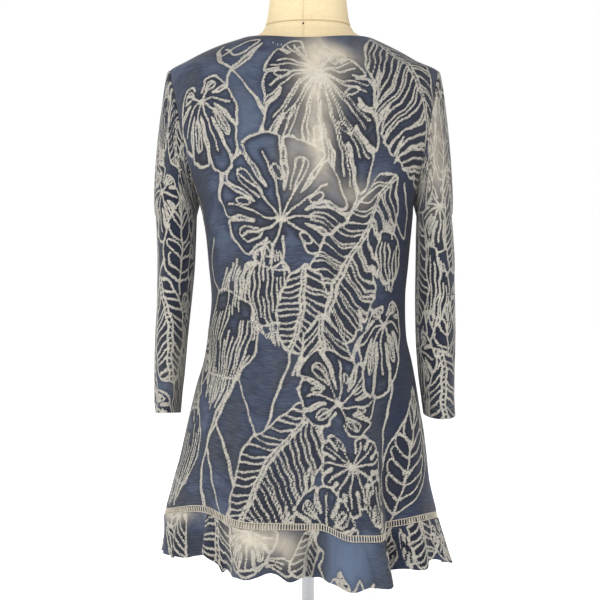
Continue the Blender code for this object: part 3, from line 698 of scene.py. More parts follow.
def sleeve_print(name):
    """Groups of long leaves round and down the arm, each moved and turned a little."""
    sheet = Print(33 if name == "left" else 46)
    turn, first_across, first_down = (1, 88, 20) if name == "left" else (-1, 70, -136)
    groups = []
    for column in range(-3, 3):
        for row in range(-1, 3):
            x = first_across + (column - 0.2 * (row % 2)) * 98 + sheet.wobble(6)
            groups.append((x, first_down + 280 * row + 90 * (column % 2) + sheet.wobble(14)))
    for x, y in groups:
        stem = ((x - 50, y - 20), (x - 30, y + 80), (x - 48, y + 160), (x - 18, y + 240), (x - 44, y + 300))
        twin_vine(sheet, *stem)
        vine(sheet, (x + 40, y + 150), (x + 54, y + 190), (x + 30, y + 228), (x + 48, y + 300))
        vine(sheet, (x - 30, y + 80), (x + 4, y + 128), (x + 40, y + 150), (x + 60, y + 120))
        vine(sheet, (x - 48, y + 160), (x - 8, y + 190), (x + 20, y + 236), (x + 52, y + 250))
    for x, y in groups:
        split_leaf(sheet, (x + 34, y + 44), 44, 84 + sheet.wobble(20), 4, 0.5, 0.45)
        brushed_leaf(sheet, (x - 44, y + 74), 120, 44, 84 + sheet.wobble(8), 6)
        brushed_leaf(sheet, (x + 50, y + 262), 84, 36, 100 + sheet.wobble(8), 5)
        ribbed_leaf(sheet, (x - 8 * turn, y - 10), 150, 88 - 6 * turn, 26 * turn, 32, 40, 12, 52, 7)
        split_leaf(sheet, (x - 26, y + 176), 42, 96 + sheet.wobble(20), 3, 0.6, 0.45)
        brushed_leaf(sheet, (x + 30, y + 168), 92, 38, 98 + sheet.wobble(8), 6)
        veined_leaf(sheet, (x + 6, y + 306), 128, 72, -88 + sheet.wobble(8), 5)
    return sheet


# The ruffle's back length follows the photograph's order: ribs, a pale stretch, a bare one, close leaves
RUFFLE_LEAVES = [
    (ribbed_leaf, (-164, -8), 80, 90, 10, 44, 42, 8, 72, 7),
    (ribbed_leaf, (-268, -6), 78, 100, -20, 40, 34, 7, 60, 5), (brushed_leaf, (-304, 40), 60, 30, 60, 5),
    (split_leaf, (-84, 6), 50, 80, 4, 0.2, 0.5),
    (vine, (-128, 2), (-118, 34), (-86, 56), (-50, 48), (-30, 56), (-6, 44), (4, 30)),
    (brushed_leaf, (-22, 50), 60, 26, 8, 4), (ribbed_leaf, (34, 4), 70, 116, -10, 20, 26, 7, 60, 4),
    (vine, (44, -4), (38, 16), (46, 32), (40, 50), (52, 70)), (veined_leaf, (96, 70), 26, 22, -86, 3),
    (vine, (70, 66), (84, 58), (110, 66), (126, 52), (134, 66), (150, 58)),
    (brushed_leaf, (190, 30), 66, 30, 86, 5), (veined_leaf, (250, 66), 64, 44, -84, 4),
    (brushed_leaf, (292, 38), 56, 24, 88, 4), (ribbed_leaf, (330, -6), 76, 92, 12, 30, 30, 8, 66, 5),
    (split_leaf, (384, 30), 34, 60, 4, 0.3),
]


def hand_drawn(across, down):
    """Shifts the places slightly, so that drawn lines waver as a hand's do."""
    x = across + 2.6 * np.sin(down / 17.0 + 1.9 * np.sin(across / 41.0))
    x = x + 0.9 * np.sin(down / 5.2 + across / 9.0)
    y = down + 2.4 * np.sin(across / 15.0 + 1.7 * np.sin(down / 37.0))
    y = y + 0.8 * np.sin(across / 4.6 - down / 8.0)
    return x, y


# How far looped yarn spreads a line past its drawn width, and how closely the lines are sampled, in mm
LINE_SPREAD = 0.4
SAMPLE_SPACING = 0.9


def inside_outline(outline, x, y):
    """Which of the places lie inside a closed outline."""
    xs = np.array([p[0] for p in outline])
    ys = np.array([p[1] for p in outline])
    out = np.zeros(x.size, dtype=bool)
    near = np.flatnonzero((x > xs.min()) & (x < xs.max()) & (y > ys.min()) & (y < ys.max()))
    px, py = x[near], y[near]
    inside = np.zeros(px.size, dtype=bool)
    for ax, ay, bx, by in zip(xs, ys, np.roll(xs, -1), np.roll(ys, -1)):
        if ay == by:
            continue
        crosses = (ay > py) != (by > py)
        inside ^= crosses & (px < (bx - ax) * (py - ay) / (by - ay) + ax)
    out[near[inside]] = True
    return out


def stroke_samples(sheet):
    """Places along the strokes that no later leaf hides, with their half widths."""
    rows = []
    for order, (points, half_width) in enumerate(sheet.strokes):
        for (ax, ay), (bx, by) in zip(points, points[1:]):
            steps = max(1, math.ceil(math.hypot(bx - ax, by - ay) / SAMPLE_SPACING))
            for k in range(steps):
                t = k / steps
                rows.append((ax + (bx - ax) * t, ay + (by - ay) * t, half_width, order))
    samples = np.array(rows)
    seen = np.ones(len(samples), dtype=bool)
    for outline, first in sheet.shades:
        seen &= ~(inside_outline(outline, samples[:, 0], samples[:, 1]) & (samples[:, 3] < first))
    return samples[seen]


def line_distances(sheet, across, down):
    """For each point of the cloth, how far outside the nearest printed line it lies, in mm."""
    samples = stroke_samples(sheet)
    tree = KDTree(len(samples))
    for i, (x, y) in enumerate(samples[:, :2].tolist()):
        tree.insert((x, y, 0.0), i)
    tree.balance()
    widths = samples[:, 2].tolist()
    out = np.empty(across.size)
    across, down = hand_drawn(across, down)
    for i, (x, y) in enumerate(zip(across.ravel().tolist(), down.ravel().tolist())):
        _, nearest, distance = tree.find((x, y, 0.0))
        out[i] = distance - widths[nearest] - LINE_SPREAD
    return out.reshape(across.shape)


def shaded(sheet, across, down):
    """1 inside a leaf's outline and 0 outside."""
    x, y = hand_drawn(across, down)
    out = np.zeros(x.size)
    for outline, _ in sheet.shades:
        out[inside_outline(outline, x.ravel(), y.ravel())] = 1.0
    return out.reshape(across.shape)


Patch = namedtuple("Patch", "across down wide tall strength")
GLOWS = tables_of(Patch, {
    "back": [
        (18, 58, 26, 46, 1.0), (44, 12, 34, 22, 0.8), (18, 156, 16, 50, 0.8), (-14, 176, 18, 50, 0.3),
        (60, 214, 34, 18, 0.35),
    ],
    "front": [(-60, 120, 40, 60, 0.8), (90, 430, 34, 60, 0.5), (-110, 540, 50, 40, 0.4)],
    "sleeve_left": [(-90, 420, 40, 50, 0.5), (110, 440, 26, 30, 0.4)],
    "sleeve_right": [(86, 110, 34, 74, 0.6), (-60, 400, 40, 60, 0.5)],
    "ruffle_back": [(-84, 16, 40, 20, 0.95), (-20, 24, 30, 20, 0.55), (-290, 4, 50, 14, 0.7)],
    "ruffle_front": [(60, 30, 70, 24, 0.7), (-220, 20, 50, 24, 0.5)],
})
# Dye: above 0 it is navy, below 0 a washed light blue
DYES = tables_of(Patch, {
    "back": [
        (150, 330, 56, 150, 0.85), (190, 130, 60, 100, 0.6), (190, 560, 80, 130, 0.9),
        (-186, 240, 46, 110, 0.35), (-90, 130, 60, 70, -0.55), (-10, 210, 60, 60, -0.3),
        (-30, 470, 40, 70, -0.2),
    ],
    "front": [(-150, 260, 60, 160, 0.8), (120, 60, 70, 110, -0.5), (30, 480, 90, 90, 0.5)],
    "sleeve_left": [(96, 240, 70, 190, 1.0), (60, 130, 50, 50, -0.6), (-90, 200, 70, 90, 0.6)],
    "sleeve_right": [(100, 340, 70, 150, 1.0), (-80, 140, 60, 90, 0.6)],
    "ruffle_back": [(104, 30, 52, 60, -1.0), (300, 40, 70, 60, 0.7), (-220, 50, 70, 30, 0.4)],
    "ruffle_front": [(-90, 30, 80, 60, 0.7), (200, 30, 70, 60, -0.7)],
})


def patch_values(patches, across, down):
    """Soft patches of the dye, each the stronger the nearer its middle."""
    out = np.zeros(across.shape)
    for patch in patches:
        reach = ((across - patch.across) / patch.wide) ** 2 + ((down - patch.down) / patch.tall) ** 2
        out = out + patch.strength * np.exp(-reach)
    return np.clip(out, -1, 1)


Crease = namedtuple("Crease", "across down end_across end_down width depth")
CREASES = tables_of(Crease, {
    "back": [
        (-170, 236, -60, 326, 13, -2.6), (-172, 196, -84, 244, 11, -2.4), (172, 206, 92, 258, 11, -2.6),
        (160, 246, 66, 336, 13, -2.6), (-120, 340, -24, 374, 10, -2.0), (118, 338, 26, 378, 10, -2.2),
        (-40, 390, -64, 690, 20, -3.4), (20, 400, 6, 700, 22, 3.0), (84, 430, 110, 700, 18, -3.4),
        (-120, 430, -150, 690, 20, 2.8), (-20, 60, -30, 210, 26, -1.2), (60, 90, 66, 240, 26, -1.0),
        (-186, 150, -120, 214, 9, -1.8), (186, 160, 124, 216, 9, -1.8), (-60, 300, 40, 318, 12, -1.4),
    ],
    "front": [
        (-150, 230, -80, 190, 14, -1.8), (150, 232, 84, 196, 14, -1.8), (-60, 300, -90, 640, 20, -2.2),
        (0, 330, 8, 650, 24, 2.0), (70, 320, 100, 640, 20, -2.2), (-110, 330, -40, 356, 12, -1.3),
        (108, 336, 44, 360, 12, -1.3), (-60, 60, -20, 130, 18, -1.2), (64, 64, 24, 132, 18, -1.2),
    ],
    "sleeve_left": [
        (-120, 300, -50, 330, 12, -2.0), (-40, 350, 20, 330, 11, -1.8), (60, 270, 120, 300, 12, -2.0),
        (-90, 420, -30, 400, 12, -1.6), (30, 430, 90, 410, 12, -1.6), (10, 60, 6, 260, 22, 1.6),
        (-70, 120, -60, 300, 18, -1.6),
    ],
    "sleeve_right": [
        (-110, 310, -40, 344, 12, -2.0), (-30, 280, 30, 310, 11, -1.8), (50, 350, 120, 320, 12, -2.0),
        (-80, 400, -20, 424, 12, -1.6), (20, 390, 80, 424, 12, -1.6), (-10, 60, -6, 260, 22, 1.6),
        (76, 130, 64, 290, 18, -1.6),
    ],
    "ruffle_back": [
        (88, -10, 82, 50, 3.6, -3.8), (142, -10, 154, 58, 4.0, -4.2), (112, -6, 112, 40, 9, 2.6),
        (-12, -10, -44, 50, 4.5, -4.6), (-34, -6, -52, 40, 7, 2.4), (24, -10, 18, 54, 4.5, -3.6),
        (52, -8, 48, 40, 5, -2.4), (-84, -8, -88, 40, 6, -2.4), (-128, -8, -120, 50, 5, -3.2),
        (-166, -8, -170, 44, 6, -2.2), (-206, -8, -214, 56, 5.5, -3.4), (-256, -8, -250, 40, 6, -2.4),
        (-300, -8, -306, 50, 6, -3.0), (184, -8, 178, 44, 6, -2.6), (222, -8, 228, 52, 5, -3.2),
        (264, -8, 270, 44, 6, -2.8), (316, -8, 310, 54, 6, -3.4),
    ],
    "ruffle_front": [
        (-290, -8, -282, 50, 6, -3.0), (-250, -8, -246, 54, 5, -3.4), (-210, -8, -214, 40, 6, -2.2),
        (-170, -8, -176, 50, 5, -3.6), (-110, -8, -104, 56, 5, -3.2), (-74, -8, -72, 36, 6, -2.0),
        (-40, -8, -46, 50, 6, -3.4), (30, -4, 36, 50, 6, -2.2), (96, -4, 90, 38, 6, -2.0),
        (170, -4, 178, 52, 7, -2.4), (240, -4, 236, 44, 6, -2.2),
    ],
})


def crease_offsets(name, across, down):
    """Soft troughs (negative) and ridges of the cloth, in metres along its normal."""
    out = np.zeros(across.shape)
    for crease in CREASES[name]:
        ax, ay = crease.across, crease.down
        bx, by = crease.end_across - ax, crease.end_down - ay
        span = bx * bx + by * by
        along = ((across - ax) * bx + (down - ay) * by) / span
        off = np.abs((across - ax) * by - (down - ay) * bx) / math.sqrt(span)
        fade = np.clip(1 - (2 * along - 1) ** 2, 0, 1)
        out += crease.depth * MM * fade * np.exp(-((off / crease.width) ** 2))
    return out


def fade_in(distance, reach):
    """0 at an edge, and 1 from reach on."""
    return np.clip(distance / reach, 0, 1)


def seam_trough(distance, depth=0.4 * MM, width=1.8 * MM):
    """Cloth dips at a sewn edge, where the allowances turn under."""
    return -depth * np.exp(-((distance / width) ** 2))


def gather_offsets(across, down, strength):
    """Short uneven puckers below a gathered seam, in metres."""
    wave = np.sin(across / 2.1 + 1.3 * np.sin(across / 17.0))
    wave += 0.6 * np.sin(across / 3.3 + 2.0 * np.sin(across / 29.0) + 1.0)
    busy = 0.45 + 0.55 * np.sin(across / 23.0 + 0.7) ** 2
    return strength * wave * busy * np.exp(-((down / 15.0) ** 1.5))


# Meshes


def add_mesh(name, points, faces):
    mesh = bpy.data.meshes.new(name)
    mesh.from_pydata(points, [], faces)
    mesh.shade_smooth()
    obj = bpy.data.objects.new(name, mesh)
    bpy.context.scene.collection.objects.link(obj)
    return obj


def grid_faces(rows, columns, closed=False, first=0, sealed=False):
    """The four corners of each cell of a grid; closed joins its columns round, sealed its rows."""
    index = first + np.arange(rows * columns).reshape(rows, columns)
    if closed:
        index = np.concatenate([index, index[:, :1]], axis=1)
    if sealed:
        index = np.concatenate([index, index[:1]])
    corners = [index[:-1, :-1], index[:-1, 1:], index[1:, 1:], index[1:, :-1]]
    return np.stack(corners, axis=-1).reshape(-1, 4)


def facing_out(points, faces, middle, judged=None):
    """Turns all faces round if the first ones mostly look towards the middle."""
    corners = points.reshape(-1, 3)[faces[:judged]]
    normals = np.cross(corners[:, 2] - corners[:, 0], corners[:, 3] - corners[:, 1])
    away = corners.mean(axis=1)[:, :2] - np.array(middle)
    if (normals[:, :2] * away).sum() < 0:
        return faces[:, ::-1]
    return faces


def store(obj, name, values):
    attribute = obj.data.attributes.new(name, "FLOAT", "POINT")
    attribute.data.foreach_set("value", np.asarray(values, dtype=np.float32).ravel())


def store_cut(obj, across, down):
    attribute = obj.data.attributes.new("cut", "FLOAT_VECTOR", "POINT")
    flat = np.stack([across.ravel(), down.ravel(), np.zeros(across.size)], axis=-1)
    attribute.data.foreach_set("vector", flat.astype(np.float32).ravel())


def with_lining(field, rows):
    """A field of the outer face, then the same of the inner face's rows, from the hem up."""
    return np.concatenate([field, field[::-1][:rows]])


def cloth_sheet(key, points, cut, middle, sheet, closed=False, lining_rows=0):
    """A printed piece of cloth. Its lower edge turns under, and its inside is shown for some rows."""
    across, down = cut
    rows, columns = across.shape
    inner = points - outward_normals(points, middle, closed) * sizes().cloth
    everything = np.concatenate([points, inner[::-1][:lining_rows]])
    outer_cells = (rows - 1) * (columns if closed else columns - 1)
    faces = grid_faces(len(everything), columns, closed, sealed=lining_rows == rows)
    faces = facing_out(everything, faces, middle, outer_cells)
    obj = add_mesh(key + "_cloth", everything.reshape(-1, 3).tolist(), faces.tolist())
    for material in knit_materials():
        obj.data.materials.append(material)
    inside = (np.arange(len(faces)) >= outer_cells).astype(np.int32)
    obj.data.polygons.foreach_set("material_index", inside)
    fields = {
        "line_edge": line_distances(sheet, across, down),
        "leaf_shade": shaded(sheet, across, down),
        "glow": patch_values(GLOWS[key], across, down),
        "dye": patch_values(DYES[key], across, down),
    }
    for label, values in fields.items():
        store(obj, label, with_lining(values, lining_rows))
    store_cut(obj, with_lining(across, lining_rows), with_lining(down, lining_rows))
    return obj


# Materials


def linear(hex_colour):
    """An sRGB hex colour as the linear values that shaders use."""
    parts = [int(hex_colour[i : i + 2], 16) / 255 for i in (1, 3, 5)]
    return tuple(c / 12.92 if c <= 0.04045 else ((c + 0.055) / 1.055) ** 2.4 for c in parts) + (1.0,)


def new_material(name, roughness, **values):
    """A material whose shader's own sockets hold what is the same all over it."""
    material = bpy.data.materials.new(name)
    material.use_nodes = True
    shader = material.node_tree.nodes["Principled BSDF"]
    shader.inputs["Roughness"].default_value = roughness
    for socket, value in values.items():
        shader.inputs[socket.replace("_", " ")].default_value = value
    return material, material.node_tree, shader.inputs


# Kinds of node: Blender's name, its options, the sockets that the values go to, and the output
Kind = namedtuple("Kind", "name options sockets output")
PLACE = Kind("TexCoord", {}, (), "Object")
FLAT_PLACE = Kind("Attribute", {"attribute_name": "cut"}, (), "Vector")
FIELD = Kind("Attribute", {}, (), "Fac")
SCALE = Kind("VectorMath", {"operation": "MULTIPLY"}, (0, 1), 0)
NOISE = Kind("TexNoise", {}, ("Vector", "Scale", "Detail", "Roughness"), "Fac")
MULTIPLY = Kind("Math", {"operation": "MULTIPLY"}, (0, 1), 0)
# The first value, plus the second times the third
ADD_PART = Kind("Math", {"operation": "MULTIPLY_ADD"}, (2, 0, 1), 0)
# The value, its range, and the range that it becomes
REMAP = Kind("MapRange", {"interpolation_type": "SMOOTHSTEP"}, (0, 1, 2, 3, 4), 0)
RAMP = Kind("ValToRGB", {}, (0,), "Color")
MIX = Kind("Mix", {"data_type": "RGBA", "clamp_factor": True}, (0, 6, 7), 2)
# The height, its strength and its depth in metres
BUMP = Kind("Bump", {}, ("Height", "Strength", "Distance"), "Normal")
GLOW_OF_SURROUND = Kind("Background", {}, ("Color",), "Background")
CAMERA_RAY = Kind("LightPath", {}, (), "Is Camera Ray")
EITHER = Kind("MixShader", {}, (0, 1, 2), "Shader")


def node(tree, kind, *inputs, stops=(), **options):
    """Adds a node with its options, its inputs as values or links, and a ramp's stops; gives its output."""
    made = tree.nodes.new("ShaderNode" + kind.name)
    for name, value in (kind.options | options).items():
        setattr(made, name, value)
    for socket, value in zip(kind.sockets, inputs):
        if isinstance(value, bpy.types.NodeSocket):
            tree.links.new(value, made.inputs[socket])
        else:
            made.inputs[socket].default_value = value
    for _ in stops[2:]:
        made.color_ramp.elements.new(0.5)
    for i, (position, colour) in enumerate(stops):
        made.color_ramp.elements[i].position = position
        made.color_ramp.elements[i].color = linear(colour)
    return made.outputs[kind.output]


def slub_knit(name, colours, reverse=False):
    """Light slub jersey, burnt out and overprinted: mottled indigo with pale raised, ragged leaf lines."""
    material, tree, shader = new_material(name, 0.88, Sheen_Weight=0.12, Specular_IOR_Level=0.2)
    cut = node(tree, FLAT_PLACE)
    # Dye patches a hand wide, then a finger wide
    patches = node(tree, NOISE, cut, 0.012, 2.0)
    clouds = node(tree, NOISE, node(tree, SCALE, cut, (1.0, 1.4, 1.0)), 0.045, 3.0)
    dark, slate = (0.46, colours.knit_dark), (0.62, colours.knit_slate)
    blue, pale = (0.76, colours.knit_blue), (0.90, colours.knit_pale)
    ground = node(tree, RAMP, node(tree, ADD_PART, patches, clouds, 0.45), stops=(dark, slate, blue, pale))
    # Slubs: thick places in the yarn, 20 mm long and 1 mm high, along the courses
    slubs = node(tree, NOISE, node(tree, SCALE, cut, (0.05, 0.9, 1.0)), 1.0, 2.0, 0.6)
    thick = node(tree, REMAP, slubs, 0.38, 0.75, 0.0, 0.5)
    ground = node(tree, MIX, thick, ground, linear(colours.knit_slub))
    # Navy areas where the dye field is above 0, washed ones where it is below
    dye = node(tree, FIELD, attribute_name="dye")
    for full, colour in ((1.0, colours.knit_navy), (-1.0, colours.knit_wash)):
        ground = node(tree, MIX, node(tree, REMAP, dye, 0.0, full, 0.0, 0.8), ground, linear(colour))
    # Beside the lines the dye gathers darker, most of all inside the leaves
    near = node(tree, FIELD, attribute_name="line_edge")
    shade = node(tree, REMAP, node(tree, FIELD, attribute_name="leaf_shade"), 0.0, 1.0, 0.35, 1.0)
    darkness = node(tree, MULTIPLY, node(tree, REMAP, near, 1.0, 9.0, 0.75, 0.0), shade)
    ground = node(tree, MIX, darkness, ground, linear(colours.knit_shadow))
    # Faded cream areas, uneven over about 30 mm
    uneven = node(tree, REMAP, node(tree, NOISE, cut, 0.03, 3.0), 0.25, 0.7, 0.6, 1.15)
    glow = node(tree, MULTIPLY, node(tree, FIELD, attribute_name="glow"), uneven)
    ground = node(tree, MIX, glow, ground, linear(colours.knit_glow))
    line_tone = node(tree, REMAP, node(tree, NOISE, cut, 0.16, 3.0), 0.3, 0.7, 0.0, 1.0)
    lines = node(tree, MIX, line_tone, linear(colours.line_grey), linear(colours.line_cream))
    lines = node(tree, MIX, node(tree, MULTIPLY, glow, 0.5), lines, linear(colours.line_faded))
    # Looped yarn leaves the line's edge toothed every 2 mm, and finer every 1 mm
    edge = node(tree, ADD_PART, near, node(tree, NOISE, cut, 0.48, 1.0), -4.2)
    edge = node(tree, ADD_PART, edge, node(tree, NOISE, cut, 1.1, 1.0), -1.4)
    mask = node(tree, REMAP, edge, -3.2, -2.4, 1.0, 0.0)
    printed = mask
    if reverse:
        ground = node(tree, MIX, 0.75, ground, linear(colours.knit_reverse))
        printed = node(tree, MULTIPLY, mask, 0.35)
    tree.links.new(node(tree, MIX, printed, ground, lines), shader["Base Color"])
    # Stitches of a fine knit are 0.6 mm, drawn as a 1.1 mm grain that the render can show
    grain = node(tree, NOISE, node(tree, SCALE, cut, (0.9, 1.3, 1.0)), 1.0, 2.0)
    height = node(tree, ADD_PART, node(tree, MULTIPLY, grain, 0.30), mask, 0.8)
    height = node(tree, ADD_PART, height, slubs, 0.5)
    tree.links.new(node(tree, BUMP, height, 0.55, 0.0006), shader["Normal"])
    return material


def twisted_cotton(name, colour, shadow):
    """Twisted sewing thread: soft, faintly shiny, with shade painted darker between its plies."""
    material, tree, shader = new_material(name, 0.7, Sheen_Weight=0.2)
    # Plies 0.7 mm apart; the ramp paints the shade between them in the shadow colour
    plies = node(tree, NOISE, node(tree, PLACE), 1400.0, 2.0)
    tree.links.new(node(tree, RAMP, plies, stops=((0.3, shadow), (0.62, colour))), shader["Base Color"])
    tree.links.new(node(tree, BUMP, plies, 0.5, 0.0003), shader["Normal"])
    return material


def linen_cover(name, colours):
    """Plain-woven unbleached linen, stretched over padding: warm cream with darker slubs and a dry weave."""
    material, tree, shader = new_material(name, 0.9, Sheen_Weight=0.08)
    where = node(tree, PLACE)
    # Yarns 1 mm wide with slubs 10 mm long, both ways
    warp = node(tree, NOISE, node(tree, SCALE, where, (900.0, 900.0, 90.0)), 1.0, 2.0)
    weft = node(tree, NOISE, node(tree, SCALE, where, (110.0, 110.0, 1100.0)), 1.0, 2.0)
    weave = node(tree, ADD_PART, warp, weft, 1.0)
    clouds = node(tree, NOISE, where, 14.0, 2.0)
    tone = node(tree, ADD_PART, node(tree, MULTIPLY, weave, 0.6), clouds, 0.4)
    base = node(tree, RAMP, tone, stops=((0.55, colours.linen_dark), (0.85, colours.linen)))
    seam = node(tree, MULTIPLY, node(tree, FIELD, attribute_name="seam"), 0.75)
    tree.links.new(node(tree, MIX, seam, base, linear(colours.linen_seam)), shader["Base Color"])
    tree.links.new(node(tree, BUMP, weave, 0.35, 0.0004), shader["Normal"])
    return material


def turned_wood(name, colours):
    """Varnished beech: close pale grain under a satin coat."""
    material, tree, shader = new_material(name, 0.4, Coat_Weight=0.3)
    # Grain 2.4 mm apart, in streaks 30 mm long
    grain = node(tree, NOISE, node(tree, SCALE, node(tree, PLACE), (30.0, 420.0, 60.0)), 1.0, 4.0, 0.6)
    stops = ((0.35, colours.wood_dark), (0.65, colours.wood))
    tree.links.new(node(tree, RAMP, grain, stops=stops), shader["Base Color"])
    tree.links.new(node(tree, BUMP, grain, 0.15, 0.0003), shader["Normal"])
    return material


def brushed_steel(name, pale, dark):
    """Drawn and brushed steel: fine lines round it blur the reflections."""
    material, tree, shader = new_material(name, 0.32, Metallic=1.0)
    # Lines 0.4 mm apart
    lines = node(tree, NOISE, node(tree, SCALE, node(tree, PLACE), (40.0, 40.0, 2500.0)), 1.0, 2.0)
    tree.links.new(node(tree, RAMP, lines, stops=((0.3, dark), (0.7, pale))), shader["Base Color"])
    tree.links.new(node(tree, REMAP, lines, 0.3, 0.7, 0.26, 0.42), shader["Roughness"])
    tree.links.new(node(tree, BUMP, lines, 0.1, 0.0002), shader["Normal"])
    return material


def cast_enamel(name, colours):
    """Cast iron, stove-enamelled: an even satin black with a slight orange peel and a little dust."""
    material, tree, shader = new_material(name, 0.42)
    where = node(tree, PLACE)
    # Orange peel of 2.4 mm, dust in patches of 45 mm
    peel = node(tree, NOISE, where, 420.0, 2.0)
    dust = node(tree, NOISE, where, 22.0, 4.0)
    stops = ((0.35, colours.iron), (0.75, colours.iron_dust))
    tree.links.new(node(tree, RAMP, dust, stops=stops), shader["Base Color"])
    tree.links.new(node(tree, REMAP, dust, 0.3, 0.8, 0.38, 0.55), shader["Roughness"])
    tree.links.new(node(tree, BUMP, peel, 0.15, 0.0003), shader["Normal"])
    return material


def hex_colour(name, description, default):
    return bpy.props.StringProperty(name=name, description=description, default=default)


def length(name, description, default):
    return bpy.props.FloatProperty(name=name, description=description, default=default, unit="LENGTH")


class TunicColours(bpy.types.PropertyGroup):
    """Colours as sRGB hex values"""

    knit_dark: hex_colour("Dark knit", "Deepest dye patches", "#292C36")
    knit_slate: hex_colour("Slate knit", "Grey-blue ground", "#353841")
    knit_blue: hex_colour("Blue knit", "Blue dye patches", "#30374B")
    knit_pale: hex_colour("Pale knit", "Washed blue patches", "#475266")
    knit_navy: hex_colour("Navy", "Navy dye areas", "#161D34")
    knit_wash: hex_colour("Wash", "Washed light areas", "#62718A")
    knit_slub: hex_colour("Slub", "Thick yarn streaks", "#656C7A")
    knit_shadow: hex_colour("Shadow", "Ground beside the lines", "#1D1F28")
    knit_glow: hex_colour("Glow", "Faded cream areas", "#CFC5B2")
    knit_reverse: hex_colour("Reverse", "Inside of the cloth", "#6A685A")
    line_grey: hex_colour("Grey line", "Greyer leaf lines", "#9E9B94")
    line_cream: hex_colour("Cream line", "Paler leaf lines", "#B9B3A7")
    line_faded: hex_colour("Faded line", "Leaf lines in the cream areas", "#E4DCCB")
    linen: hex_colour("Linen", "Form cover", "#EAD6AD")
    linen_dark: hex_colour("Dark linen", "Slubs in the cover", "#DCC79C")
    linen_seam: hex_colour("Seam", "Shadow in the cover's seams", "#9C8158")
    # Threads: each one's own colour, then the shade painted into its colour between its plies
    thread: hex_colour("Thread", "Openwork thread", "#D9D0BF")
    thread_ply_shade: hex_colour("Dark thread", "Between the plies of the openwork thread", "#B4AB9B")
    cuff_thread: hex_colour("Cuff thread", "Stitches of the cuffs", "#8D8F96")
    cuff_thread_ply_shade: hex_colour("Dark cuff thread", "Between its plies", "#4A4C55")
    tack: hex_colour("Tack", "Tacks below the back neck", "#D8D6D0")
    tack_ply_shade: hex_colour("Dark tack", "Between the tacks' plies", "#8C8A86")
    loose_thread: hex_colour("Loose thread", "Thread end at the hem", "#9A9AA0")
    loose_thread_ply_shade: hex_colour("Dark loose thread", "Between its plies", "#55565C")
    wood: hex_colour("Wood", "Neck cap", "#A9764A")
    wood_dark: hex_colour("Dark wood", "Grain of the cap", "#7D5230")
    steel: hex_colour("Steel", "Pole", "#B9BBBE")
    steel_dark: hex_colour("Dark steel", "Brush lines of the pole", "#A4A6A9")
    pin: hex_colour("Pin", "Blackened pin at the nape", "#3A3734")
    pin_dark: hex_colour("Dark pin", "Brush lines of the pin", "#1F1D1B")
    iron: hex_colour("Iron", "Base", "#1C1C1E")
    iron_dust: hex_colour("Dusty iron", "Paler patches of the base", "#2B2B2D")
    paper: hex_colour("Paper", "The floor", "#FAFAFA")


class TunicSizes(bpy.types.PropertyGroup):
    """Sizes of the sewn details"""

    cloth: length("Cloth", "Thickness of the knit", 0.0008)
    bar_pitch: length("Bar pitch", "Distance between the openwork's bars", 0.0038)
    bar_width: length("Bar width", "Width of one thread bar", 0.0014)
    rail_width: length("Rail width", "Height of the openwork's two edges", 0.0009)
    stitch_pitch: length("Stitch pitch", "Length of one cuff stitch and its gap", 0.0032)
    cuff_hem: length("Cuff hem", "Height of the cuff's stitching", 0.0125)


def colours():
    return bpy.context.scene.tunic_colours


def sizes():
    return bpy.context.scene.tunic_sizes


def knit_materials():
    """The cloth's right side and its inside, made once."""
    names = ("slub_jersey_printed", "slub_jersey_inside")
    found = [bpy.data.materials.get(name) for name in names]
    if all(found):
        return found
    return [slub_knit(names[0], colours()), slub_knit(names[1], colours(), reverse=True)]


def dress(obj, slot, *nodes):
    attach(obj, "root")
    if nodes:
        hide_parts(*nodes)


def distance_to_edges(points):
    """Each point's distance along its row to the nearer end of the row, in metres."""
    along = arc_lengths(points, 1)
    return np.minimum(along, along[:, -1:] - along)


# Where creases reach their full depth: from a side seam and an armhole in metres, from other edges in mm
SIDE_FADE = 0.03
NECK_FADE = 40
HEM_FADE = 25
ARMHOLE_FADE = 0.05
CUFF_FADE = 20
RUFFLE_SIDE_FADE = 0.01
RUFFLE_SEAM_FADE = 4
# How far a panel's turned neck rim and its hem's allowance stand inside the cloth's face
NECK_ROLL = 0.9 * MM
HEM_TUCK = 1.3 * MM
# Rows below the neck's edge that the rolled rim repeats inside, 8 mm in all
RIM_ROWS = [6, 4, 2, 0]


def build_panel(name, side, sheet):
    points = panel_points(side)[::-1]
    across, down = cut_coordinates(points)
    normals = outward_normals(points, (0, 0))
    edge = distance_to_edges(points)
    to_hem = down[-1:, :] - down
    offset = crease_offsets(name, across, down) * fade_in(edge, SIDE_FADE) * fade_in(down, NECK_FADE)
    offset *= fade_in(to_hem, HEM_FADE)
    offset += seam_trough(edge)
    offset += seam_trough(to_hem * MM, depth=0.5 * MM, width=1.4 * MM)
    points = points + normals * offset[..., None]
    rim = points[RIM_ROWS] - normals[RIM_ROWS] * NECK_ROLL
    allowance = points[-1:] - normals[-1:] * HEM_TUCK - [[[0.0, 0.0, HEM_TUCK]]]
    points = np.concatenate([rim, points, allowance])
    cut = [np.concatenate([field[RIM_ROWS], field, field[-1:]]) for field in (across, down)]
    return cloth_sheet(name, points, cut, (0, 0), sheet)


# Six turns round a thread, in radians
ROUND = [2 * math.pi * k / 6 for k in range(6)]


def add_rod(points, faces, rings):
    """A closed rod through rings of points."""
    first, sides = len(points), len(ROUND)
    points += [tuple(point) for ring in rings for point in ring]
    for ring in range(len(rings) - 1):
        for k in range(sides):
            a = first + ring * sides + k
            b = first + ring * sides + (k + 1) % sides
            faces.append((a, b, b + sides, a + sides))
    faces.append(tuple(first + k for k in reversed(range(sides))))
    faces.append(tuple(first + (len(rings) - 1) * sides + k for k in range(sides)))


TACK_RADIUS = 0.4 * MM
CUFF_STITCH_RADIUS = 0.35 * MM
LOOSE_THREAD_RADIUS = 0.4 * MM
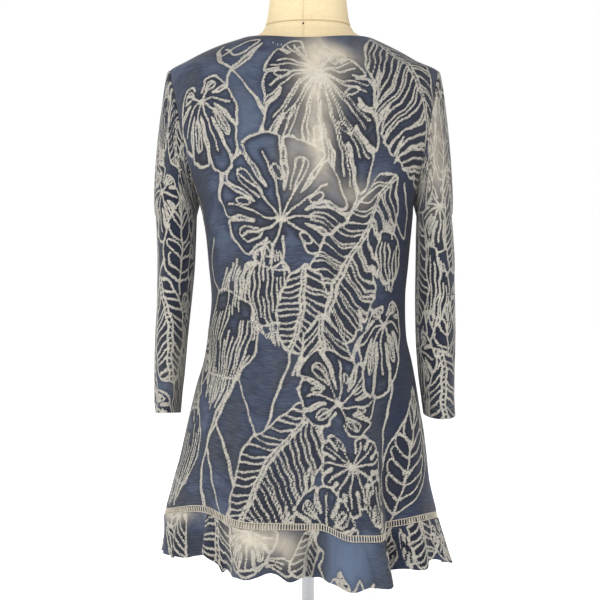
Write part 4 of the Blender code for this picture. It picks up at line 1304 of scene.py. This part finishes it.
# A stitch's thickness along its length, thin where it enters the cloth
STITCH_PROFILE = ((0.0, 0.35), (0.12, 0.9), (0.5, 1.0), (0.88, 0.9), (1.0, 0.35))


def build_threads(name, stitches, radius, material):
    """Short rounded threads between pairs of points, as one mesh."""
    points, faces = [], []
    for start, end in stitches:
        length = np.linalg.norm(end - start)
        along = (end - start) / length
        across = np.cross(along, [0.0, 0.0, 1.0] if abs(along[2]) < 0.9 else [1.0, 0.0, 0.0])
        across /= np.linalg.norm(across)
        up = np.cross(along, across)
        offsets = [across * math.cos(turn) + up * math.sin(turn) for turn in ROUND]
        rings = []
        for t, size in STITCH_PROFILE:
            rings.append([start + along * length * t + out * radius * size for out in offsets])
        add_rod(points, faces, rings)
    obj = add_mesh(name, points, faces)
    obj.data.materials.append(material)
    dress(obj, "printed_knit")
    return obj


# Short upright tacks that show through the back below the neck: X and height in metres
TACKS = [(0.0490, 0.8975), (0.0430, 0.8955), (0.0370, 0.8940)]
TACK_REACH = np.array([0.2, 0.0, 1.5]) * MM


def tack_stitches():
    points = panel_points(1)
    normals = outward_normals(points, (0, 0))
    stitches = []
    for x, height in TACKS:
        away = np.hypot(points[..., 0] - x, points[..., 2] - height)
        row, column = np.unravel_index(np.argmin(away), away.shape)
        centre = points[row, column] + normals[row, column] * 0.5 * MM
        stitches.append((centre - TACK_REACH, centre + TACK_REACH))
    return stitches


class OBJECT_OT_tunic_back(bpy.types.Operator):
    """Build the back panel with its leaf print"""

    bl_idname = "object.tunic_back"
    bl_label = "Back panel"

    def execute(self, context):
        obj = build_panel("back", 1, drawn(Print(11), BACK_LEAVES))
        dress(obj, "printed_knit", "back")
        thread = twisted_cotton("polyester_tacking_thread", colours().tack, colours().tack_ply_shade)
        tacks = build_threads("nape_tacks", tack_stitches(), TACK_RADIUS, thread)
        return {"FINISHED"}


class OBJECT_OT_tunic_front(bpy.types.Operator):
    """Build the front panel with its leaf print"""

    bl_idname = "object.tunic_front"
    bl_label = "Front panel"

    def execute(self, context):
        obj = build_panel("front", -1, front_print())
        dress(obj, "printed_knit", "front")
        return {"FINISHED"}


# How far up a sleeve its inside shows, and where the upper row of cuff stitches lies above the lower one
SLEEVE_LINING = 0.09
CUFF_ROW_GAP = 0.004


def build_sleeve(name):
    key = "sleeve_" + name
    points = sleeve_points(name)
    cuff = SLEEVE_SECTIONS[name][-1]
    middle = (SIDE_SIGN[name] * (cuff.inner + cuff.outer) / 2, cuff.middle_y)
    across, down = cut_coordinates(points)
    normals = outward_normals(points, middle, True)
    from_armhole = arc_lengths(points, 0)
    to_cuff = down[-1:, :] - down
    offset = crease_offsets(key, across, down) * fade_in(from_armhole, ARMHOLE_FADE)
    offset *= fade_in(to_cuff, CUFF_FADE)
    offset += seam_trough(from_armhole)
    offset += seam_trough(np.abs(to_cuff - sizes().cuff_hem / MM) * MM, depth=0.35 * MM, width=1.6 * MM)
    points = points + normals * offset[..., None]
    # The seam allowance goes on under the panels, so no gap shows at the armhole
    allowance = points[:1] - normals[:1] * 0.5 * MM - [[[SIDE_SIGN[name] * 1.2 * MM, 0.0, 0.0]]]
    cloth = np.concatenate([allowance, points])
    cut = [np.concatenate([field[:1], field]) for field in (across, down)]
    lining = round(SLEEVE_LINING / SLEEVE_ROW_SPACING)
    return cloth_sheet(key, cloth, cut, middle, sleeve_print(name), True, lining), points, normals


def stitch_row(points, normals, row, pitch):
    """Places and directions of stitches along one closed row of a grid."""
    path = points[row] + normals[row] * 0.25 * MM
    closed = np.concatenate([path, path[:1]])
    lengths = np.concatenate([[0], np.cumsum(np.linalg.norm(np.diff(closed, axis=0), axis=1))])
    count = int(lengths[-1] / pitch)
    out = []
    for k in range(count):
        ends = [(k + part) / count * lengths[-1] for part in (0.12, 0.80)]
        out.append([np.array([np.interp(e, lengths, closed[:, i]) for i in range(3)]) for e in ends])
    return out


class OBJECT_OT_tunic_sleeves(bpy.types.Operator):
    """Build both sleeves and the two rows of stitches on each cuff"""

    bl_idname = "object.tunic_sleeves"
    bl_label = "Sleeves"

    def execute(self, context):
        thread = twisted_cotton("polyester_sewing_thread", colours().cuff_thread, colours().cuff_thread_ply_shade)
        for name in ("left", "right"):
            obj, points, normals = build_sleeve(name)
            dress(obj, "printed_knit", "sleeve_" + name)
            stitches = []
            for height in (sizes().cuff_hem, sizes().cuff_hem + CUFF_ROW_GAP):
                row = len(points) - 1 - round(height / SLEEVE_ROW_SPACING)
                stitches += stitch_row(points, normals, row, sizes().stitch_pitch)
            seams = build_threads("cuff_stitches_" + name, stitches, CUFF_STITCH_RADIUS, thread)
        return {"FINISHED"}


# Small flutes of the ruffle's hem, in mm: place along it, width, and how far the hem drops there
Flute = namedtuple("Flute", "across width drop")
FLUTES = tables_of(Flute, {
    "ruffle_back": [
        (-290, 14, 3), (-244, 12, 3), (-198, 14, -6), (-152, 5, 8), (-112, 16, 3), (-78, 12, 2),
        (-44, 13, -4), (-18, 10, 4), (10, 13, -3), (60, 14, 2), (92, 16, -2), (128, 12, 2), (214, 14, -3),
        (246, 14, 4), (286, 16, -2), (322, 14, 2), (360, 14, -2),
    ],
    "ruffle_front": [
        (-300, 16, -4), (-262, 12, 5), (-200, 14, -4), (-150, 12, 5), (-92, 16, -5), (-40, 11, 5),
        (22, 16, -4), (70, 12, 5), (128, 15, -4), (180, 11, 4), (236, 15, -5), (292, 12, 4),
    ],
})


def flute_drop(name, across, share):
    drop = 0
    for flute in FLUTES[name]:
        drop = drop + flute.drop * np.exp(-(((across - flute.across) / flute.width) ** 2))
    return drop * MM * share**2


# Rows of the gathered edge that go on behind the openwork and darken its gaps: up and inwards, in mm
BEHIND_OPENWORK = [(8.6, 4.8), (4.5, 3.6), (0.6, 2.4)]


def build_ruffle(key, side):
    points = ruffle_points(side)
    cut = cut_coordinates(points, gathered=True)
    normals = outward_normals(points, (0, 0))
    edge = distance_to_edges(points)
    from_seam = arc_lengths(points, 0) / MM
    offset = gather_offsets(cut[0], from_seam, 1.1 * MM) + crease_offsets(key, cut[0], from_seam)
    offset *= fade_in(edge, RUFFLE_SIDE_FADE) * fade_in(from_seam, RUFFLE_SEAM_FADE)
    offset += seam_trough(edge, depth=0.5 * MM, width=1.6 * MM)
    points = points + normals * offset[..., None]
    points[..., 2] -= flute_drop(key, cut[0], from_seam / from_seam[-1:])
    allowance = [
        points[:1] - normals[:1] * inward * MM + [[[0.0, 0.0, up * MM]]] for up, inward in BEHIND_OPENWORK
    ]
    cloth = np.concatenate(allowance + [points])
    cut = [np.concatenate([field[:1]] * len(BEHIND_OPENWORK) + [field]) for field in cut]
    # The front length is cut the other way round
    cut[0] = cut[0] * side
    sheet = drawn(Print(60 - 3 * side), RUFFLE_LEAVES)
    return cloth_sheet(key, cloth, cut, (0, 0), sheet, False, len(cloth))


# A thread end left hanging 8 mm below the ruffle's hem: its X in metres, and its bends in mm from the hem
LOOSE_THREAD_X = -0.0885
LOOSE_THREAD = [(0, 0, 1.0), (0.5, 0.8, -3.0), (-0.6, 1.2, -5.5), (0.2, 1.0, -8.0)]


def build_loose_thread():
    hem = ruffle_points(1)[-1]
    start = hem[np.argmin(np.abs(hem[:, 0] - LOOSE_THREAD_X))]
    places = [start + np.array(step) * MM for step in LOOSE_THREAD]
    thread = twisted_cotton("overlock_thread", colours().loose_thread, colours().loose_thread_ply_shade)
    return build_threads("loose_thread", list(zip(places, places[1:])), LOOSE_THREAD_RADIUS, thread)


class OBJECT_OT_tunic_ruffle(bpy.types.Operator):
    """Build the ruffle's back and front lengths"""

    bl_idname = "object.tunic_ruffle"
    bl_label = "Ruffle"

    def execute(self, context):
        for name, side in (("back", 1), ("front", -1)):
            obj = build_ruffle("ruffle_" + name, side)
            dress(obj, "printed_knit", "ruffle_" + name)
            if side > 0:
                build_loose_thread()
        return {"FINISHED"}


def path_at(across, side, below):
    points, angle = below_hem(across, side, below)
    return points, TUNIC.outwards(angle, points[..., 2])


# Half the thickness of the openwork's rails and bars, and how far their middles lie inside the cloth's face
RAIL_HALF = 0.6 * MM
RAIL_INSET = 0.7 * MM
BAR_HALF = 0.5 * MM
BAR_INSET = 0.65 * MM
# A bar's width along its length, fuller where it is sewn to the rails
BAR_PROFILE = ((0.0, 1.25), (0.2, 1.0), (0.5, 0.9), (0.8, 1.0), (1.0, 1.25))


def add_rail(points, faces, centre, outwards, half_height):
    rings = []
    for turn in ROUND:
        lift = np.array([0.0, 0.0, 1.0]) * half_height * math.sin(turn)
        rings.append(centre + outwards * RAIL_HALF * math.cos(turn) + lift)
    grid = np.stack(rings, axis=1)
    faces += [tuple(face) for face in grid_faces(*grid.shape[:2], True, len(points)).tolist()]
    points += [tuple(point) for point in grid.reshape(-1, 3)]


def add_bar(points, faces, ends, half_width):
    (top, out_top), (bottom, out_bottom) = ends
    rings = []
    for t, size in BAR_PROFILE:
        centre = top + (bottom - top) * t
        outwards = out_top + (out_bottom - out_top) * t
        along = np.cross(outwards, [0.0, 0.0, 1.0])
        across, up = along * half_width * size, outwards * BAR_HALF
        rings.append([centre + (across * math.cos(turn) + up * math.sin(turn)) for turn in ROUND])
    add_rod(points, faces, rings)


def ladder_mesh(name, side):
    """Open bars between two thread rails, all in one mesh."""
    points, faces = [], []
    fine = np.linspace(0.0008, 0.9992, RAIL_POINTS)
    rail_half = sizes().rail_width / 2
    middle = SEAM_GAP + INSERTION_HEIGHT / 2
    for below in (SEAM_GAP + rail_half, SEAM_GAP + INSERTION_HEIGHT - rail_half):
        centre, outwards = path_at(fine, side, below)
        add_rail(points, faces, centre - outwards * RAIL_INSET, outwards, rail_half)
    path, _ = path_at(fine, side, middle)
    lengths = np.concatenate([[0], np.cumsum(np.linalg.norm(np.diff(path, axis=0), axis=1))])
    count = int(lengths[-1] / sizes().bar_pitch)
    chance = random.Random(5 + side)
    half = INSERTION_HEIGHT / 2 - rail_half
    for i in range(count):
        share = (i + 0.5) / count
        across = float(np.interp(share * lengths[-1] + chance.uniform(-0.2, 0.2) * MM, lengths, fine))
        lean = chance.uniform(-0.25, 0.25) * MM
        ends = []
        for below, sway in ((middle - half, lean), (middle + half, -lean)):
            point, outwards = path_at(np.array([across + sway / lengths[-1]]), side, below)
            ends.append((point[0] - outwards[0] * BAR_INSET, outwards[0]))
        add_bar(points, faces, ends, sizes().bar_width / 2)
    return add_mesh(name, points, faces)


def finish_mesh(obj, close=False):
    """Turns all faces outwards, after closing open rims with flat faces where asked."""
    bm = bmesh.new()
    bm.from_mesh(obj.data)
    if close:
        bmesh.ops.holes_fill(bm, edges=[edge for edge in bm.edges if edge.is_boundary], sides=0)
    bmesh.ops.recalc_face_normals(bm, faces=bm.faces)
    bm.to_mesh(obj.data)
    bm.free()


class OBJECT_OT_tunic_openwork(bpy.types.Operator):
    """Build the ladder-stitch insertion, bar by bar"""

    bl_idname = "object.tunic_openwork"
    bl_label = "Openwork"

    def execute(self, context):
        thread = twisted_cotton("mercerised_cotton_thread", colours().thread, colours().thread_ply_shade)
        for name, side in (("back", 1), ("front", -1)):
            obj = ladder_mesh("ladder_stitch_" + name, side)
            finish_mesh(obj)
            obj.data.materials.append(thread)
            dress(obj, "openwork_tape", "insertion_" + name)
        return {"FINISHED"}


NECK_SEAM_HEIGHT = 0.9355
BACK_SEAM_X = 0.007
# The cover's seams: half their width and depth, and the soft ridge 4 mm beside the neck's seam
SEAM_HALF_WIDTH = 0.0011
SEAM_DEPTH = 0.5 * MM
RIDGE_HEIGHT = 0.35 * MM
PIN_HEIGHT = 0.9300


class OBJECT_OT_tunic_form(bpy.types.Operator):
    """Build the form's linen cover with its seams, and the pin at the nape"""

    bl_idname = "object.tunic_form"
    bl_label = "Form cover"

    def execute(self, context):
        low, high = FORM_SECTIONS[0].height, FORM_SECTIONS[-1].height
        shoulder = 0.90
        body = np.arange(low, shoulder, FORM_ROW_SPACING)
        levels = np.unique(np.concatenate([body, np.linspace(shoulder, high, 110)]))[:, None]
        turn = np.linspace(0, 2 * np.pi, FORM_COLUMNS + 1)[None, :-1]
        points = FORM.point(turn, levels)
        normals = outward_normals(points, (0, 0), True)
        at_neck = np.abs(points[..., 2] - NECK_SEAM_HEIGHT)
        to_back_seam = np.abs(points[..., 0] - BACK_SEAM_X)
        seam = np.exp(-((at_neck / SEAM_HALF_WIDTH) ** 2))
        seam = np.maximum(seam, np.exp(-((to_back_seam / SEAM_HALF_WIDTH) ** 2)) * 0.5)
        offset = -SEAM_DEPTH * seam
        offset += RIDGE_HEIGHT * np.exp(-(((at_neck - 0.004) / 0.002) ** 2))
        points = points + normals * offset[..., None]
        faces = facing_out(points, grid_faces(*points.shape[:2], True), (0, 0))
        obj = add_mesh("form_cover", points.reshape(-1, 3).tolist(), faces.tolist())
        finish_mesh(obj, close=True)
        store(obj, "seam", np.concatenate([seam.ravel(), np.zeros(len(obj.data.vertices) - seam.size)]))
        obj.data.materials.append(linen_cover("unbleached_linen", colours()))
        dress(obj, "linen_cover", "form_torso")
        where = FORM.point(np.array(math.pi / 2), np.array(PIN_HEIGHT))
        place = (BACK_SEAM_X, where[1] + 0.4 * MM, PIN_HEIGHT)
        pin = add_turned("nape_pin", 1.3 * MM, 2.2 * MM, place, 0.5 * MM, segments=3, vertices=32, level=True)
        pin.data.materials.append(brushed_steel("blackened_steel_pin", colours().pin, colours().pin_dark))
        dress(pin, "brushed_steel")
        return {"FINISHED"}


def add_turned(name, radius, depth, centre, bevel, segments=4, vertices=128, level=False):
    """A round plate or rod, upright or level along Y, with its rims rounded."""
    bpy.ops.object.select_all(action="DESELECT")
    tilt = math.pi / 2 if level else 0.0
    size = {"vertices": vertices, "radius": radius, "depth": depth, "end_fill_type": "NGON"}
    bpy.ops.mesh.primitive_cylinder_add(location=centre, rotation=(tilt, 0.0, 0.0), **size)
    obj = bpy.context.active_object
    obj.name = name
    obj.data.name = name
    edge = obj.modifiers.new("rim", "BEVEL")
    edge.width = bevel
    edge.segments = segments
    edge.limit_method = "ANGLE"
    bpy.ops.object.modifier_apply(modifier="rim")
    bpy.ops.object.transform_apply(location=True, rotation=True, scale=True)
    bpy.ops.object.shade_smooth_by_angle(angle=math.radians(35))
    return obj


# The base's plate and the collar that holds the pole
PLATE_THICKNESS = 0.012
COLLAR_RADIUS = 0.022


class OBJECT_OT_tunic_stand(bpy.types.Operator):
    """Finish the neck cap and build the pole and the base"""

    bl_idname = "object.tunic_stand"
    bl_label = "Stand"

    def execute(self, context):
        low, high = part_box("stand_base")
        plate = PLATE_THICKNESS
        enamel = cast_enamel("stove_enamelled_iron", colours())
        base = add_turned("base_plate", (high[0] - low[0]) / 2, plate, (0, 0, plate / 2), bevel=0.003)
        base.data.materials.append(enamel)
        dress(base, "painted_iron", "stand_base")
        centre = (0, 0, (high[2] + plate) / 2)
        collar = add_turned("base_collar", COLLAR_RADIUS, high[2] - plate, centre, bevel=0.002)
        collar.data.materials.append(enamel)
        dress(collar, "painted_iron")
        low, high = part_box("stand_pole")
        centre = (0, 0, (high[2] + low[2]) / 2)
        pole = add_turned("pole", (high[0] - low[0]) / 2, high[2] - low[2], centre, bevel=0.0008)
        pole.data.materials.append(brushed_steel("brushed_steel_tube", colours().steel, colours().steel_dark))
        dress(pole, "brushed_steel", "stand_pole")
        cap = bpy.data.objects["form_neck_cap"]
        cap.data.materials.clear()
        cap.data.materials.append(turned_wood("varnished_beech", colours()))
        return {"FINISHED"}


# Soft studio lights: name, place, size in metres and watts. All look at the tunic's middle.
Light = namedtuple("Light", "name place size watts")
LIGHTS = [
    Light("key_light", (1.2, 2.6, 1.8), 1.0, 44),
    Light("fill_light", (-1.8, 1.9, 1.2), 1.6, 8),
    Light("front_light", (0.6, -2.4, 2.0), 1.8, 30),
]
LIT_PLACE = (0, 0, 0.55)
FLOOR_GLOW = 0.66
SURROUND_LIGHT = 0.48
WHITE = (1.0, 1.0, 1.0, 1.0)


def add_area_light(light):
    data = bpy.data.lights.new(light.name, "AREA")
    data.shape = "SQUARE"
    data.size = light.size
    data.energy = light.watts
    obj = bpy.data.objects.new(light.name, data)
    bpy.context.scene.collection.objects.link(obj)
    obj.location = light.place
    aim = obj.location - Vector(LIT_PLACE)
    obj.rotation_euler = aim.to_track_quat("Z", "Y").to_euler()


def white_surround():
    """A world that the camera sees white, and that lights the tunic less strongly."""
    world = bpy.data.worlds.new("white_surround")
    world.use_nodes = True
    tree = world.node_tree
    light = tree.nodes["Background"]
    light.inputs["Strength"].default_value = SURROUND_LIGHT
    light.inputs["Color"].default_value = WHITE
    paper = node(tree, GLOW_OF_SURROUND, WHITE)
    both = node(tree, EITHER, node(tree, CAMERA_RAY), light.outputs["Background"], paper)
    tree.links.new(both, tree.nodes["World Output"].inputs["Surface"])
    return world


class OBJECT_OT_tunic_stage(bpy.types.Operator):
    """Set the pale floor, the soft lights and the camera"""

    bl_idname = "object.tunic_stage"
    bl_label = "Stage"

    def execute(self, context):
        bpy.ops.object.select_all(action="DESELECT")
        bpy.ops.mesh.primitive_plane_add(size=40.0, location=(0, 0, -0.001))
        floor = bpy.context.active_object
        floor.name = "floor"
        # Matt paper, lit from within a little, so that the floor meets the surround without a line
        glow = {"Emission_Color": WHITE, "Emission_Strength": FLOOR_GLOW}
        material, _, _ = new_material("matt_white_paper", 0.95, Base_Color=linear(colours().paper), **glow)
        floor.data.materials.append(material)
        context.scene.world = white_surround()
        for light in LIGHTS:
            add_area_light(light)
        data = bpy.data.cameras.new("camera")
        data.sensor_width = SENSOR_WIDTH_MM
        data.lens = SENSOR_WIDTH_MM * CAMERA_DISTANCE / FRAME_WIDTH_AT_FORM
        camera = bpy.data.objects.new("camera", data)
        context.scene.collection.objects.link(camera)
        camera.location = (CAMERA_X, CAMERA_DISTANCE, CAMERA_HEIGHT)
        camera.rotation_euler = (math.radians(90), 0, math.radians(180))
        context.scene.camera = camera
        context.scene.view_settings.view_transform = "Standard"
        return {"FINISHED"}


OPERATORS = (
    OBJECT_OT_tunic_form,
    OBJECT_OT_tunic_back,
    OBJECT_OT_tunic_front,
    OBJECT_OT_tunic_sleeves,
    OBJECT_OT_tunic_openwork,
    OBJECT_OT_tunic_ruffle,
    OBJECT_OT_tunic_stand,
    OBJECT_OT_tunic_stage,
)


class VIEW3D_PT_tunic(bpy.types.Panel):
    """The tunic's pieces, in the order they are built"""

    bl_label = "Tunic"
    bl_idname = "VIEW3D_PT_tunic"
    bl_space_type = "VIEW_3D"
    bl_region_type = "UI"
    bl_category = "Tunic"

    def draw(self, context):
        for operator in OPERATORS:
            self.layout.operator(operator.bl_idname)
        for name in TunicSizes.__annotations__:
            self.layout.prop(context.scene.tunic_sizes, name)


CLASSES = (TunicColours, TunicSizes, *OPERATORS, VIEW3D_PT_tunic)


def register():
    for cls in CLASSES:
        bpy.utils.register_class(cls)
    bpy.types.Scene.tunic_colours = bpy.props.PointerProperty(type=TunicColours)
    bpy.types.Scene.tunic_sizes = bpy.props.PointerProperty(type=TunicSizes)


def unregister():
    del bpy.types.Scene.tunic_sizes
    del bpy.types.Scene.tunic_colours
    for cls in reversed(CLASSES):
        bpy.utils.unregister_class(cls)


def main():
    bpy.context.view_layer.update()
    register()
    for operator in OPERATORS:
        group, name = operator.bl_idname.split(".")
        getattr(getattr(bpy.ops, group), name)()


if __name__ == "__main__":
    main()
